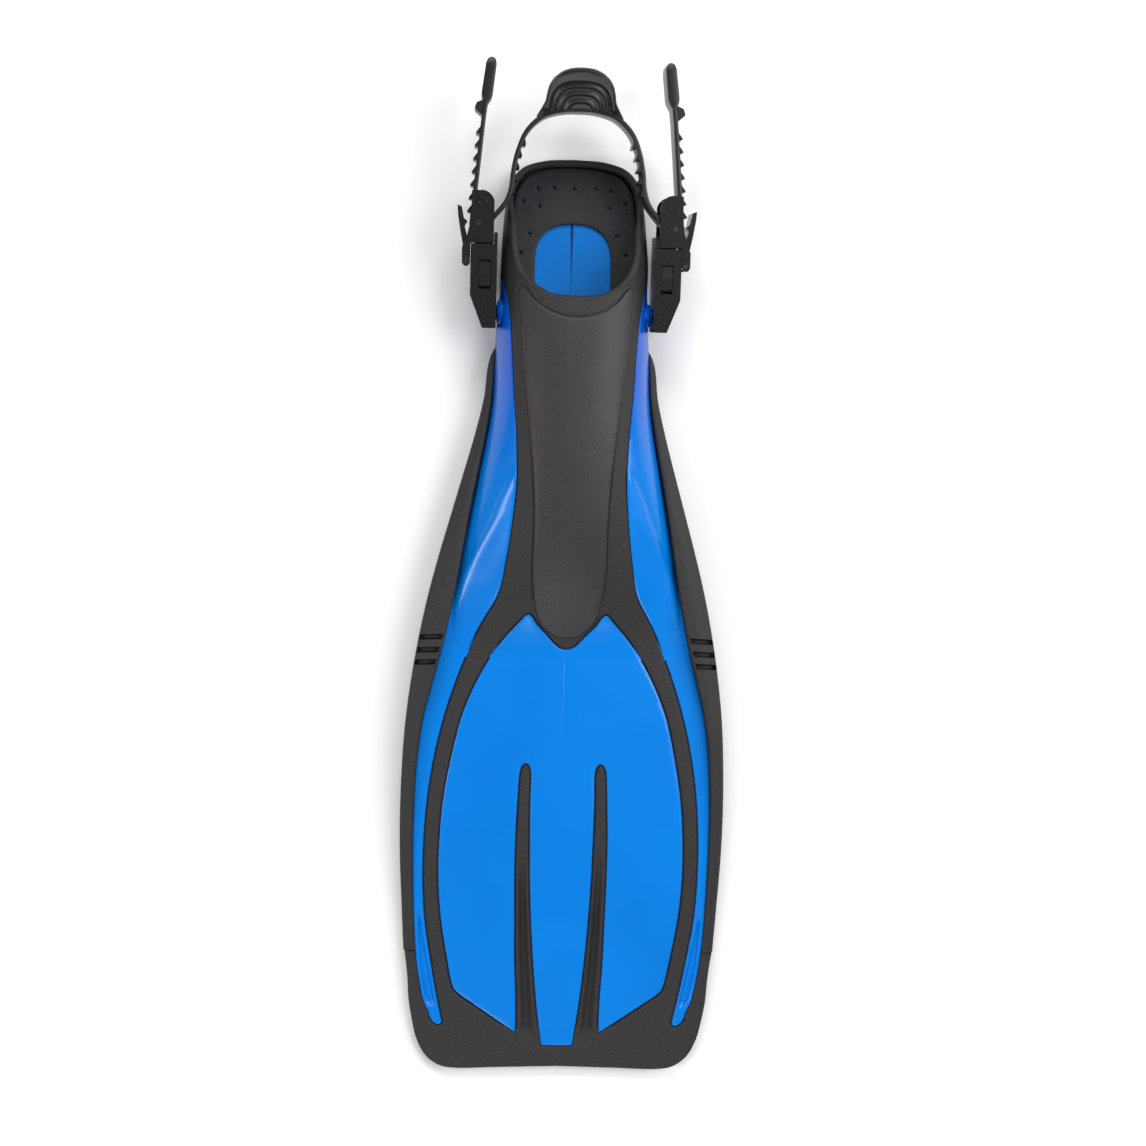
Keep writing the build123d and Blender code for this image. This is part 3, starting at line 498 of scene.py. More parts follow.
def metal(name):
    m, nt, bs, co = nodes_of(name)
    n = noise(nt, co, 500, 2, stretch=(1, 1, 12))
    r = ramp(nt, n.outputs["Fac"], [(0.3, (0.05, 0.05, 0.055)), (0.7, (0.11, 0.11, 0.115))])
    nt.links.new(r.outputs[0], bs.inputs["Base Color"])
    bs.inputs["Metallic"].default_value = 1.0
    bs.inputs["Roughness"].default_value = 0.35
    return m


M_BLUE = gloss_blue("fin blue plastic")


def groove_shade_blue(name):
    """The blue plastic with a painted shade line along the centre groove, widening towards the heel."""
    m = gloss_blue(name, 0.0)
    nt = m.node_tree
    bs = [n for n in nt.nodes if n.type == "BSDF_PRINCIPLED"][0]
    old = bs.inputs["Base Color"].links[0].from_socket
    co = [n for n in nt.nodes if n.type == "TEX_COORD"][0]
    sep = nt.nodes.new("ShaderNodeSeparateXYZ")
    nt.links.new(co.outputs["Object"], sep.inputs[0])
    off = nt.nodes.new("ShaderNodeMath")
    off.operation = "ADD"
    off.inputs[1].default_value = 0.0010
    nt.links.new(sep.outputs["X"], off.inputs[0])
    mag = nt.nodes.new("ShaderNodeMath")
    mag.operation = "ABSOLUTE"
    nt.links.new(off.outputs[0], mag.inputs[0])
    wid = nt.nodes.new("ShaderNodeMapRange")
    for k, v in (("From Min", 0.190), ("From Max", 0.230), ("To Min", 0.00035), ("To Max", 0.0016)):
        wid.inputs[k].default_value = v
    nt.links.new(sep.outputs["Y"], wid.inputs[0])
    rat = nt.nodes.new("ShaderNodeMath")
    rat.operation = "DIVIDE"
    nt.links.new(mag.outputs[0], rat.inputs[0])
    nt.links.new(wid.outputs[0], rat.inputs[1])
    cut = nt.nodes.new("ShaderNodeMapRange")
    cut.interpolation_type = "SMOOTHSTEP"
    for k, v in (("From Min", 0.25), ("From Max", 1.0), ("To Min", 1.0), ("To Max", 0.0)):
        cut.inputs[k].default_value = v
    nt.links.new(rat.outputs[0], cut.inputs[0])
    amt = nt.nodes.new("ShaderNodeMapRange")
    for k, v in (("From Min", 0.160), ("From Max", 0.222), ("To Min", 0.25), ("To Max", 0.95)):
        amt.inputs[k].default_value = v
    nt.links.new(sep.outputs["Y"], amt.inputs[0])
    mul = nt.nodes.new("ShaderNodeMath")
    mul.operation = "MULTIPLY"
    nt.links.new(cut.outputs[0], mul.inputs[0])
    nt.links.new(amt.outputs[0], mul.inputs[1])
    # painted shade: a near-black blue line at object x = -1 mm stands in for the shade in the centre groove, stronger
    # towards the heel
    mix = nt.nodes.new("ShaderNodeMix")
    mix.data_type = "RGBA"
    nt.links.new(mul.outputs[0], mix.inputs[0])
    nt.links.new(old, mix.inputs[6])
    mix.inputs[7].default_value = (0.001, 0.012, 0.09, 1)
    nt.links.new(mix.outputs[2], bs.inputs["Base Color"])
    return m


M_PLATE = groove_shade_blue("foot plate plastic")
M_RUB = rubber("fin rubber", (0.010, 0.0092, 0.0098), (0.031, 0.028, 0.0300))
M_PANEL = rubber("instep rubber", (0.018, 0.0165, 0.0175), (0.039, 0.036, 0.039), 0.12, 0.5)
M_BED = rubber("footbed rubber", (0.011, 0.0102, 0.0112), (0.024, 0.0222, 0.0245), 0.2, 0.62)
M_STRAP = rubber("strap rubber", (0.008, 0.008, 0.009), (0.018, 0.018, 0.020), 0.06, 0.33)
M_BUCKLE = plastic("buckle plastic", (0.008, 0.008, 0.009), (0.018, 0.018, 0.020), 0.24)
M_LATCH = plastic("button plastic", (0.010, 0.010, 0.011), (0.022, 0.022, 0.024), 0.22)
M_STEEL = metal("steel")


def piece(ob, body, nodes):
    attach(ob, body)
    if nodes:
        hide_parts(*nodes)
    return ob


# ------------------------------------------------------------------ blade, blue
UP = 0.9         # rubber stands this far above the plastic
peak = [(0, -49.6), (5.0, -48.0), (8.7, -44.6), (12.4, -40.4), (19.0, -33.6), (22.2, -28.6), (25.2, -26.6), (28.0, -28.3), (30.6, -31.4),
        (41.4, -43.7), (50.3, -56.8), (57.5, -69.9), (63.4, -83), (68.0, -96.1), (74.0, -122.4),
        (78.4, -148.8), (80.4, -175.2), (80.6, -201.7), (78.4, -228.3), (73.8, -255), (70.6, -270.5),
        (68.8, -275.2), (64.5, -279.3)]
v_mirror = smooth([(-8.7, -44.6), (-5.0, -48.0)] + peak, 1.2)
v_mirror = v_mirror[np.argmin(np.abs(v_mirror[:, 0])):]
rib_o = smooth([(26.9, -303.5), (26.8, -295.1), (27.1, -281.7), (28.4, -255), (29.0, -228.3), (29.6, -201.7),
                (29.6, -175.2), (28.6, -145), (27.8, -131.5), (26.6, -127.2), (24.5, -125.2), (22.6, -127.0),
                (21.5, -131.5), (21.6, -148.8), (21.3, -175.2), (20.7, -201.7), (19.4, -228.3),
                (17.5, -255), (14.9, -281.7), (13.2, -295.1), (11.0, -311.0)])
main_right = np.vstack([v_mirror, straight((64.5, -279.3), (28.6, -303.4)), rib_o,
                        straight((10.4, -312.2), (0, -312.5))])
main_panel = mirrored(main_right)
cut = [(-0.1, 0.0)]


def ribbing(x, y):
    """Flat: returns zero everywhere; the fine lengthwise ridges on the lower part of the two ribs are cut in trim_top.
    """
    return 0.0


def blue_top(x, y):
    z = np.maximum(plate_top(y), dome_z(x, y) - 0.0)
    seam = np.exp(-((x + 0.2) / 0.35) ** 2) * np.clip((-52 - y) / 4, 0, 1) * np.clip((y + 120) / 60, 0, 1)
    return z - 0.22 * seam


mid_line = np.array([(x, y) for y in np.arange(-51, -122, -1.6) for x in (-1.0, -0.5, -0.2, 0.1, 0.6)])
v1 = slab([grown(main_panel, -0.62)], blue_top, lambda x, y: PLATE_LO(y), r=0.7, step=2.6, extra=mid_line)

# blue sides of the foot pocket, running on into the slim outer strips
rows_y = np.concatenate([np.linspace(194, -20, 170), np.linspace(-21.5, -290.0, 190), np.linspace(-290.8, -298.3, 16)])
A_END = lambda y: float(np.interp(y, [-298.4, -298.2, -297.4, -296.0, -294.0, -292.0, -290.0],
                                  [78.4, 79.3, 80.9, 82.3, 83.5, 84.4, float(R_I(-290))]))
W_END = lambda y: float(np.interp(y, [-298.4, -298.2, -297.4, -296.4, -295.0, -293.0],
                                  [77.3, 76.5, 75.5, 75.3, float(COVER(-295)), float(COVER(-293))]))
COLS = 46


def crease(x, y):
    """A soft fold between the steep side wall and the flatter shoulder below it."""
    dd = CREASE(y) - np.abs(x)
    gate = np.clip((70 - y) / 10, 0, 1) * np.clip((y + 58) / 40, 0, 1)
    fall = np.where(dd > 0, np.exp(-(dd / 7.5) ** 2), np.exp(-(dd / 3.0) ** 2))
    return gate * 1.7 * fall


CREASE = Fn([(72, 33.4), (62, 37.0), (50, 42.2), (41, 46.2), (36, 47.6), (30, 50.4), (12, 59.6), (-6, 68.0), (-16, 71.6), (-40, 77.8), (-60, 82)])


def blue_side(sgn):
    verts = []
    for y in rows_y:
        w, a = float(COVER(y)), float(R_I(y))
        w = min(w, a - 0.05)
        if y < -290:
            a = float(A_END(y))
        if y < -293:
            w = float(W_END(y))
        w += 0.6
        a = max(a, w + 0.05)
        t1, t0 = float(dome_t(w, y)), float(dome_t(min(a, D_A(y)), y))
        col = []
        lo = float(plate_top(y)) - 2.5
        col.append((a + 0.3, lo))
        for k in range(COLS):
            q = k / (COLS - 1)
            t = t0 + (t1 - t0) * q
            x, z = dome_xz(t, y)
            x = min(float(x), a)
            if y < -20:
                b = min(1.0, (-20 - y) / 32.0)
                x = x * (1 - b) + (a + (w - a) * q) * b
                z = float(dome_z(x, y))
            zz = max(float(z), float(plate_top(y)))
            zz += float(crease(x, y))
            # slim strip: a groove and ridge near its lower end
            if y < -224:
                q2 = min(1.0, (-224 - y) / 45.0)
                g = min(1.0, (-224 - y) / 8.0) * min(1.0, max(0.0, (y + 287) / 7.0))
                u = (x - w) / max(a - w, 0.1)
                zz -= g * 2.9 * math.exp(-(abs(u - 0.50) / (0.08 + 0.16 * q2)) ** 3)
                zz += g * 1.6 * q2 * math.exp(-((u - 0.58) / 0.05) ** 2)
            edge_in = x - w
            if edge_in < 0.7:
                zz -= 0.55 * (1 - edge_in / 0.7) ** 2
            edge_out = a - x
            if y < -52 and edge_out < 0.8:
                zz -= 0.35 * (1 - edge_out / 0.8) ** 2
            col.append((x, zz))
        col.append((w - 0.02, float(dome_z(w, y)) - 1.8))
        verts += [(sgn * x, y, z) for x, z in col]
    n = COLS + 2
    f = grid_faces(len(rows_y), n, flip_it=(sgn < 0))
    return verts, [q[::-1] for q in f]


# plate under the foot; its shallow centre groove, seen through the footbed, is not modelled but painted as shade in its
# material
def foot_plate_top(x, y):
    z = plate_top(y) - 0.02
    return z


foot_plate = ccw(tidy(np.vstack([along(lambda y: R_I(y) - 1.2, -56, 188, 4),
                                 smooth([(40.4, 194), (40.0, 215), (38.4, 236), (35.6, 249), (28.5, 258), (17, 262), (0, 263)], 2),
                                 (smooth([(40.4, 194), (40.0, 215), (38.4, 236), (35.6, 249), (28.5, 258), (17, 262), (0, 263)], 2) * [-1, 1])[::-1],
                                 (along(lambda y: R_I(y) - 1.2, -56, 188, 4) * [-1, 1])[::-1]])))
v2 = slab([foot_plate], foot_plate_top, lambda x, y: PLATE_LO(y), r=0.3, step=2.6)
under_strip = []
for sgn in (1, -1):
    strip = np.vstack([along(lambda y: R_I(y), -297, -50, 3), along(lambda y: COVER(y), -50, -297, 3)]) * [sgn, 1]
    under_strip.append(slab([ccw(tidy(strip))], lambda x, y: PLATE_LO(y) + 1.4, lambda x, y: PLATE_LO(y), r=0.2, step=5))


def post(sgn):
    """Strap post: a stepped boss turned about its own axis."""
    prof = [(44.0, 8.2), (48.4, 7.6), (49.4, 7.0), (49.9, 6.2), (49.95, 4.9), (50.3, 4.05), (56.0, 4.0), (56.05, 5.4),
            (58.2, 5.5), (58.5, 5.0), (58.5, 0.01)]
    seg = 40
    verts = []
    for x, r in prof:
        for k in range(seg):
            a = 2 * pi * k / seg
            verts.append((sgn * x, 167.5 + r * math.cos(a), 30 + r * math.sin(a)))
    return verts, grid_faces(len(prof), seg, wrap=True, flip_it=sgn < 0)


bl = join(v1, blue_side(1), blue_side(-1), under_strip[0], under_strip[1])
blade = finish_mesh("blade", *bl, M_BLUE, sharp=42)
piece(blade, "fin", ["blade_frame"])
plate_ob = finish_mesh("foot_plate", *v2, M_PLATE, sharp=42)
piece(plate_ob, "fin", [])
posts = finish_mesh("strap_posts", *join(post(1), post(-1)), M_BLUE, sharp=35, recalc=True)
piece(posts, "fin", [])

# ------------------------------------------------------------------ rubber cover, stripes, ribs and tip
Y_SEAM = -17.5
Y_R0 = 173.0
Y_HEEL = 192.0


def cover_col(y, m=70):
    """Heights and widths across the right half of the rubber at y, from its edge to the middle or the rim."""
    w = min(float(COVER(y)), float(R_I(y)) if y < 170 else heel_half(y))
    t0 = float(dome_t(w, y))
    t1 = pi / 2 if y <= Y_R0 else float(dome_t_z(float(RIM(y)), y))
    out = []
    for k in range(m + 1):
        t = t0 + (t1 - t0) * k / m
        x, z = dome_xz(t, y)
        out.append((float(x), float(z)))
    return out


heel_fn = Fn([(y, x) for x, y in HEEL[:6]])


def heel_half(y):
    return float(heel_fn(y))


edge = [(31.5, 178.6), (34.2, 181.0), (36.6, 179.4), (36.4, 173), (34.4, 153), (31.4, 122), (27.6, 88), (24.8, 60), (23.4, 30),
        (23.6, -2), (21.6, -22), (18.6, -31.2), (13.8, -37.4), (7.4, -41.6), (0, -43)]
half_panel = smooth([(-10, 162.6), (0, 161.2), (10, 162.6), (20, 166.8), (27, 172.6)] + edge, 1.0)
half_panel = half_panel[np.argmin(np.abs(half_panel[:60, 0])):]
half_panel[0] = (0, 161.2)
panel_loop = mirrored(half_panel)


def cover_surface():
    ys = list(np.linspace(Y_SEAM, Y_R0, 190))
    ys += [Y_R0 + (Y_HEEL - Y_R0) * (k / 30) ** 2 for k in range(1, 31)]
    m = 84
    verts = []
    for sgn in (1, -1):
        for y in ys:
            col = cover_col(y, m)
            fade = min(1.0, max(0.0, (Y_HEEL - y) / 6.0))
            x0, z0 = col[0]
            dz = z0 - float(dome_z(min(x0 + 0.4, float(D_A(y)) - 0.3), y))
            verts.append((sgn * (x0 + 0.5 * fade), y, z0 - (1.35 + max(dz, 0.0)) * fade))
            verts.append((sgn * (x0 + 0.10 * fade), y, z0 - 1.3 * fade))
            for k, (x, z) in enumerate(col):
                # rounded, slightly raised edge along the plastic
                run = abs(x0 - x) + abs(z - z0)
                e = min(1.0, run / 1.3)
                lift = UP * fade * math.sqrt(max(0.0, 1 - (1 - e) ** 2))
                verts.append((sgn * x, y, z + lift * (0.55 + 0.45 * k / m)))
    v = np.array(verts)
    near = np.where((v[:, 1] < 183) & (np.abs(v[:, 0]) < 39.5))[0]
    gap = gap_to(v[near, :2], [panel_loop])
    v[near, 2] -= 0.9 * np.exp(-(gap / 0.75) ** 2)
    verts = [tuple(a) for a in v]
    rows, cols = len(ys), m + 3
    f = grid_faces(rows, cols, 0) + grid_faces(rows, cols, rows * cols, flip_it=True)
    # edge skirt down into the plastic
    base = len(verts)
    extra = []
    for s, sgn in enumerate((1, -1)):
        for i, y in enumerate(ys):
            v = verts[s * rows * cols + i * cols]
            extra.append((v[0], v[1], v[2] - 2.2))
    verts += extra
    for s in (0, 1):
        for i in range(rows - 1):
            a = s * rows * cols + i * cols
            b = base + s * rows + i
            q = [a, a + cols, b + 1, b]
            f.append(q if s == 0 else q[::-1])
    return verts, f


def heel_path(step=1.6, inset=0.0):
    """Plan line of the heel wall from right to left, with inward normals."""
    pts = [(heel_half(192), 192)] + [p for p in HEEL if p[1] > 196]
    half_line = smooth([(heel_half(186), 186)] + pts, step)
    half_line = half_line[half_line[:, 1] >= 191.999]
    half_line[0] = (heel_half(192), 192)
    line = np.vstack([half_line, (half_line[:-1] * [-1, 1])[::-1]])
    t = np.gradient(line, axis=0)
    t /= np.linalg.norm(t, axis=1)[:, None]
    nrm = np.column_stack([-t[:, 1], t[:, 0]])
    return line, nrm


def lean(y, z, inner=False):
    """How far the wall has leant in at height z."""
    yy = min(y, 262.0)
    x = float(side_x(z, yy, inner))
    ref = heel_half(min(y, 254.0)) if not inner else float(C_A(yy))
    fade = np.clip((268 - y) / 20.0, 0, 1)
    return max(0.0, ref - x) * fade


def wall_thick(y):
    return float(np.interp(y, [186, 240, 262, 271], [4.6, 4.4, 4.2, 4.2]))


def heel_walls():
    line, nrm = heel_path()
    line = np.where(np.abs(line) < 1e-9, 0, line)
    m = 26
    outer_v, inner_v = [], []
    for (px, py), (nx, ny) in zip(line, nrm):
        top = float(RIM(py))
        for k in range(m + 1):
            z = 0.0 + top * k / m
            d = lean(py, z)
            r = 1.6
            if z < r:
                d += r - math.sqrt(max(0.0, r * r - (r - z) ** 2))
            outer_v.append((px + nx * d, py + ny * d, z))
        for k in range(m + 1):
            z = 7.5 + (top - 7.5) * k / m
            d = lean(py, z) + wall_thick(py)
            inner_v.append((px + nx * d, py + ny * d, z))
    rows, cols = len(line), m + 1
    f = grid_faces(rows, cols, 0)
    g = grid_faces(rows, cols, 0, flip_it=True)
    cap = [[i * cols + m, (i + 1) * cols + m, rows * cols + (i + 1) * cols + m, rows * cols + i * cols + m]
           for i in range(rows - 1)]
    return outer_v + inner_v, f + [[a + rows * cols for a in q] for q in g] + cap


def inner_roof():
    """Inside of the pocket, forward of the heel."""
    ya = 171.8
    ys = list(np.linspace(-11, ya, 70)) + [ya + (192.2 - ya) * (k / 20) ** 2 for k in range(1, 21)]
    m = 40
    verts = []
    for sgn in (1, -1):
        for y in ys:
            a, z0, zc, n = (float(g(y)) for g in (C_A, C_0, C_C, C_N))
            if y <= ya:
                t1 = pi / 2
            else:
                q = min(1.0, max(0.0, (float(RIM(y)) - 3.2 * min(1.0, (y - ya) / 3.0) - z0) / (zc - z0)))
                t1 = math.asin(q ** (n / 2))
            for k in range(m + 1):
                t = t1 * k / m
                verts.append((sgn * a * math.cos(t) ** (2 / n) if t < pi / 2 else 0.0, y, z0 + (zc - z0) * math.sin(t) ** (2 / n)))
    rows, cols = len(ys), m + 1
    f = grid_faces(rows, cols, 0, flip_it=True) + grid_faces(rows, cols, rows * cols)
    return verts, f


def trim_top(x, y):
    z = np.maximum(plate_top(y), dome_z(x, y)) + UP
    # fine ridges along the lower half of the ribs
    ax = np.abs(x)
    lo, hi = RIBI(y), RIBO(y)
    u = np.clip((ax - lo) / (hi - lo), 0, 1)
    on = (ax > lo - 0.01) & (ax < hi + 0.01) & (y < -165) & (y > -313)
    fade = np.clip((-165 - y) / 60, 0, 1)
    wide = 0.075 + 0.03 * fade
    valley = np.exp(-((u - 0.34) / wide) ** 2) + np.exp(-((u - 0.64) / wide) ** 2)
    end = np.clip((y + 312) / 12, 0, 1)
    return z - np.where(on, 2.1 * fade * end * valley, 0.0)


RIBO = Fn([(-125, 26.5), (-145, 28.6), (-175.2, 29.6), (-201.7, 29.6), (-228.3, 29.0), (-255, 28.4), (-281.7, 27.1), (-320, 26.8)])
RIBI = Fn([(-125, 22.5), (-148.8, 21.6), (-175.2, 21.3), (-201.7, 20.7), (-228.3, 19.4), (-255, 17.5), (-281.7, 14.9), (-320, 10.4)])

tip = smooth([(101.2, -249.1), (99.9, -258), (98.8, -267.9), (97.9, -281.3), (95.6, -294.6), (92.2, -308),
              (86.0, -319.0), (76.5, -325.4), (66.0, -326.9), (40, -326.2), (0, -325.2)])
strip_end = smooth([(75.3, -296.4), (76.3, -298.3), (78.4, -298.9), (80.8, -297.9), (82.6, -296.0), (84.2, -293.6)], 0.8)
trim_right = np.vstack([straight((0, Y_SEAM), (float(COVER(Y_SEAM)), Y_SEAM), 0.66),
                        along(COVER, Y_SEAM, -295.5), strip_end,
                        along(R_I, -291.0, -249.1), tip])
trim_loop = mirrored(trim_right)


def trim_bottom(x, y):
    return np.where(y > -60, PLATE_LO(y) + 1.0, SOLE(y))


def beside_plastic(x, y):
    x = np.abs(x)
    edge_x = np.interp(y, [-327, -298.9, -298, -249.2, -249, 0], [0, 0, 90.5, 97.5, 200, 200])
    return (x < edge_x) & (y > -313.6) & (np.abs(y - Y_SEAM) > 0.3)


rib_pts = []
for y in np.arange(-150, -315, -1.5):
    for u in (0.14, 0.20, 0.26, 0.30, 0.34, 0.38, 0.43, 0.49, 0.55, 0.60, 0.64, 0.68, 0.73, 0.80, 0.87):
        x = float(RIBI(y)) + (float(RIBO(y)) - float(RIBI(y))) * u
        rib_pts += [(x, y), (-x, y)]
trim_grown = grown(trim_loop, 0.5, lambda x, y: beside_plastic(x, y).astype(float))
tv, tf = slab([trim_grown, grown(main_panel, -0.5)], trim_top, trim_bottom, r=0.9, step=2.4, seam=beside_plastic,
              open_edge=lambda x, y: np.abs(y - Y_SEAM) < 0.2, rb=0.6, extra=np.array(rib_pts))
# join the shoulders, which belong to the foot pocket, with the stripes into one mesh
cv, cf = join(cover_surface(), (tv, tf))
me_all = finish_mesh("rubber_cover", cv, cf, M_RUB, sharp=44, merge=0.12)
top_rubber = me_all
piece(top_rubber, "fin", ["foot_pocket", "blade_trim"])

walls = finish_mesh("heel_walls", *join(heel_walls(), inner_roof()), M_RUB, sharp=50)
piece(walls, "fin", [])


def rim_line():
    pts = []
    for y in [Y_R0 + (Y_HEEL - Y_R0) * (k / 30) ** 2 for k in range(0, 31)]:
        z = float(RIM(y))
        xo = float(side_x(z, y)) if y > Y_R0 else 0.0
        x = xo - 2.1 if xo > 4 else xo * 0.5
        pts.append((max(x, 0.0), y - 0.6, z - 1.5))
    line, nrm = heel_path()
    n = len(line) // 2 + 1
    for (px, py), (nx, ny) in zip(line[1:n], nrm[1:n]):
        z = float(RIM(py))
        d = lean(py, z) + wall_thick(py) / 2
        pts.append((px + nx * d, py + ny * d, z - 0.6 + 0.0))
    right = np.array(pts)
    full = np.vstack([right[::-1][:-1] * [1, 1, 1], right * [-1, 1, 1]])
    return full


rl = rim_line()
for _ in range(6):
    rl[1:-1] = 0.25 * rl[:-2] + 0.5 * rl[1:-1] + 0.25 * rl[2:]
rad = np.interp(rl[:, 1], [175, 190, 215, 245, 262, 271], [2.6, 2.6, 2.5, 2.2, 1.9, 1.7])
lip = finish_mesh("rolled_rim", *tube(rl, rad, 18), M_RUB, sharp=80, recalc=True)
piece(lip, "fin", [])

# outsole with a shallow tread
sole_line = smooth([(46.4, 200), (46.9, 180), (47.6, 150), (48.5, 110), (48.0, 70), (43.0, 30), (32.0, -2), (0, -20)], 2)
heel_line, heel_n = heel_path(2.0)
hl = heel_line + heel_n * 1.3
sole_loop = tidy(np.vstack([hl, ((sole_line[sole_line[:, 1] < 190]) * [-1, 1]), (sole_line[sole_line[:, 1] < 190])[::-1]]))


def tread(x, y):
    z = SOLE(y)
    w = np.minimum(44.0, np.interp(y, [-20, 0, 60, 110, 190, 271], [0, 26, 42, 43, 41, 34]))
    on = (np.abs(x) < w - 3) & (y > 4) & (y < 262)
    g = np.abs(((y + 0.35 * np.abs(x)) / 11.0) % 1.0 - 0.5)
    return z + np.where(on & (g < 0.1), 1.2, 0.0)


sv, sf = slab([sole_loop], lambda x, y: PLATE_LO(y) + 0.3, tread, r=0.5, step=1.9, rb=1.0)
outsole = finish_mesh("outsole", sv, sf, M_RUB, sharp=40)
piece(outsole, "fin", [])

# ------------------------------------------------------------------ footbed
bed_half = smooth([(42.0, 186), (41.8, 215), (40.2, 236), (37.2, 251), (29.8, 260.4), (17.5, 264.6), (0, 266.0)], 2)
bed_loop = ccw(tidy(np.vstack([along(lambda y: np.minimum(C_A(y) - 0.6, 47), -8, 185, 3), bed_half, (bed_half * [-1, 1])[::-1],
                               (along(lambda y: np.minimum(C_A(y) - 0.6, 47), -8, 185, 3) * [-1, 1])[::-1]])))
window = smooth([(25, 203), (24.6, 211), (22.4, 218.6), (17.6, 224.6), (9.6, 228.4), (0, 229.6)], 1.2)
window = mirrored(np.vstack([straight((0, 60), (25, 60)), straight((25, 62), (25, 201.5)), window]))
holes = []
for hx, hy in ((0, 252.5), (14, 252.6), (-14, 252.6), (24.4, 251.8), (-24.4, 251.8), (34.2, 243.4), (-34.2, 243.4),
               (23.4, 240.2), (-23.4, 240.2), (29.3, 222), (-29.3, 222), (35.0, 209.5), (-35.0, 209.5)):
    a = np.arange(16) / 16 * 2 * pi
    holes.append(np.column_stack([hx + 1.2 * np.cos(a), hy + 1.2 * np.sin(a)]))
fv, ff = slab([bed_loop, window] + holes, lambda x, y: plate_top(y) + 2.5, lambda x, y: plate_top(y) + 0.05, r=0.45, step=2.8)
bed = finish_mesh("footbed_skin", fv, ff, M_BED, sharp=40)
piece(bed, "fin", ["footbed"])

# ------------------------------------------------------------------ instep panel
pv, pf = slab([panel_loop], lambda x, y: dome_z(x, y) + UP + 0.85, lambda x, y: dome_z(x, y) - 0.6, r=1.2, step=2.2)
instep = finish_mesh("instep", pv, pf, M_PANEL, sharp=50)
piece(instep, "fin", ["instep_panel"])

# ------------------------------------------------------------------ rails
R_TOP = Fn([(150, 20.5), (100, 27), (50, 30), (0, 31), (-60, 29.5), (-120, 25), (-180, 17.8), (-255, 9.2)])
R_BOT = Fn([(150, 9), (100, 7.2), (50, 7), (0, 7.5), (-60, 8), (-120, 6.8), (-180, 4.0), (-255, 2.0)])


def rail(sgn):
    ys = np.concatenate([np.linspace(147, 140, 12)[:-1], np.linspace(140, -36, 80), np.linspace(-36.3, -66, 150), np.linspace(-67, -249, 95)])
    prof_n = 44
    verts = []
    for y in ys:
        xi, xo = float(R_I(y)) + 0.05, float(R_O(y)) if y > -248.9 else float(R_O(-248.9))
        zt, zb = float(R_TOP(y)), float(R_BOT(y))
        if y > 140:
            s = math.sqrt(max(0.02, 1 - ((y - 140) / 7.0) ** 2))
            xo = xi + (xo - xi) * s
            mid = (zt + zb) / 2
            zt, zb = mid + (zt - mid) * s, mid - (mid - zb) * s
        w = xo - xi
        ro = min(4.2, w * 0.42)
        ri = min(1.8, w * 0.3)
        rb = min(2.0, w * 0.3)
        crown = min(1.4, w * 0.1)
        pts = []
        for k in range(9):       # outer bottom corner, going up
            a = -pi / 2 + (pi / 2) * k / 8
            pts.append((xo - rb + rb * math.cos(a), zb + rb + rb * math.sin(a)))
        for k in range(11):      # outer top corner
            a = (pi / 2) * k / 10
            pts.append((xo - ro + ro * math.cos(a), zt - crown - ro + ro * math.sin(a)))
        for k in range(1, 12):   # crowned top
            q = k / 12
            pts.append((xo - ro + (xi + ri - xo + ro) * q, zt - crown + crown * math.sin(pi / 2 * min(1, q * 1.5))))
        for k in range(8):       # inner top corner
            a = pi / 2 + (pi / 2) * k / 7
            pts.append((xi + ri + ri * math.cos(a), zt - ri + ri * math.sin(a)))
        pts.append((xi, zb + rb))
        for k in range(4):
            a = pi + (pi / 2) * (k + 1) / 4
            pts.append((xi + rb + rb * math.cos(a), zb + rb + rb * math.sin(a)))
        for x, z in pts:
            for gy in (-43.0, -51.4, -59.4):
                dy = y - gy + (x - xi - w / 2) * 0.05
                if z > zt - 9:
                    u = (x - xi) / w
                    depth = 5.5 * (1 - min(1.0, abs(dy) / 1.75) ** 8) if abs(dy) < 1.75 else 0.0
                    depth *= max(0.0, min(1.0, (0.97 - u) / 0.05)) * max(0.0, min(1.0, (u - 0.10) / 0.08))
                    z -= depth
            verts.append((sgn * x, float(y), z))
    n = len(verts) // len(ys)
    f = grid_faces(len(ys), n, wrap=True, flip_it=sgn < 0)
    f.append(list(range(n)) if sgn < 0 else list(range(n))[::-1])
    last = len(verts) - n
    f.append([last + k for k in range(n)][::-1] if sgn < 0 else [last + k for k in range(n)])
    return verts, f


for sgn, nm in ((1, "right"), (-1, "left")):
    ob = finish_mesh("side_rail_" + nm, *rail(sgn), M_RUB, sharp=42, recalc=True)
    piece(ob, "fin", ["rail_" + nm])

# ------------------------------------------------------------------ heel strap
PY, PZ, TILT = 167.5, 30.0, math.radians(8)


def tilt(v):
    v = np.array(v, float)
    y, z = v[:, 1] - PY, v[:, 2] - PZ
    v[:, 1] = PY + y * math.cos(TILT) - z * math.sin(TILT)
    v[:, 2] = PZ + y * math.sin(TILT) + z * math.cos(TILT)
    return v


RX, RY, RC, SH = -62.7, 223.0, 4.55, 1.45
W0, W1 = PZ - 12.0, PZ + 12.0
td = np.array([6.2, 66.0])
td /= np.linalg.norm(td)
tail0 = np.array([RX - RC * td[1], RY + RC * td[0]])
tail1 = tail0 + 66 * td
k_end = np.array([-56.4, 326.6])
kd = (k_end - tail1) / np.linalg.norm(k_end - tail1)
p_in = np.array([-45.6, 237.5])
dd = p_in - [RX, RY]
t_ang = math.atan2(dd[1], dd[0]) - math.acos(RC / np.linalg.norm(dd))
t_in = np.array([RX + RC * math.cos(t_ang), RY + RC * math.sin(t_ang)])
t_dir = (p_in - t_in) / np.linalg.norm(p_in - t_in)
a1 = math.atan2(*(tail0 - [RX, RY])[::-1]) - 2 * pi
arc = [(RX + RC * math.cos(a), RY + RC * math.sin(a)) for a in np.linspace(a1, t_ang, 26)][1:-1]
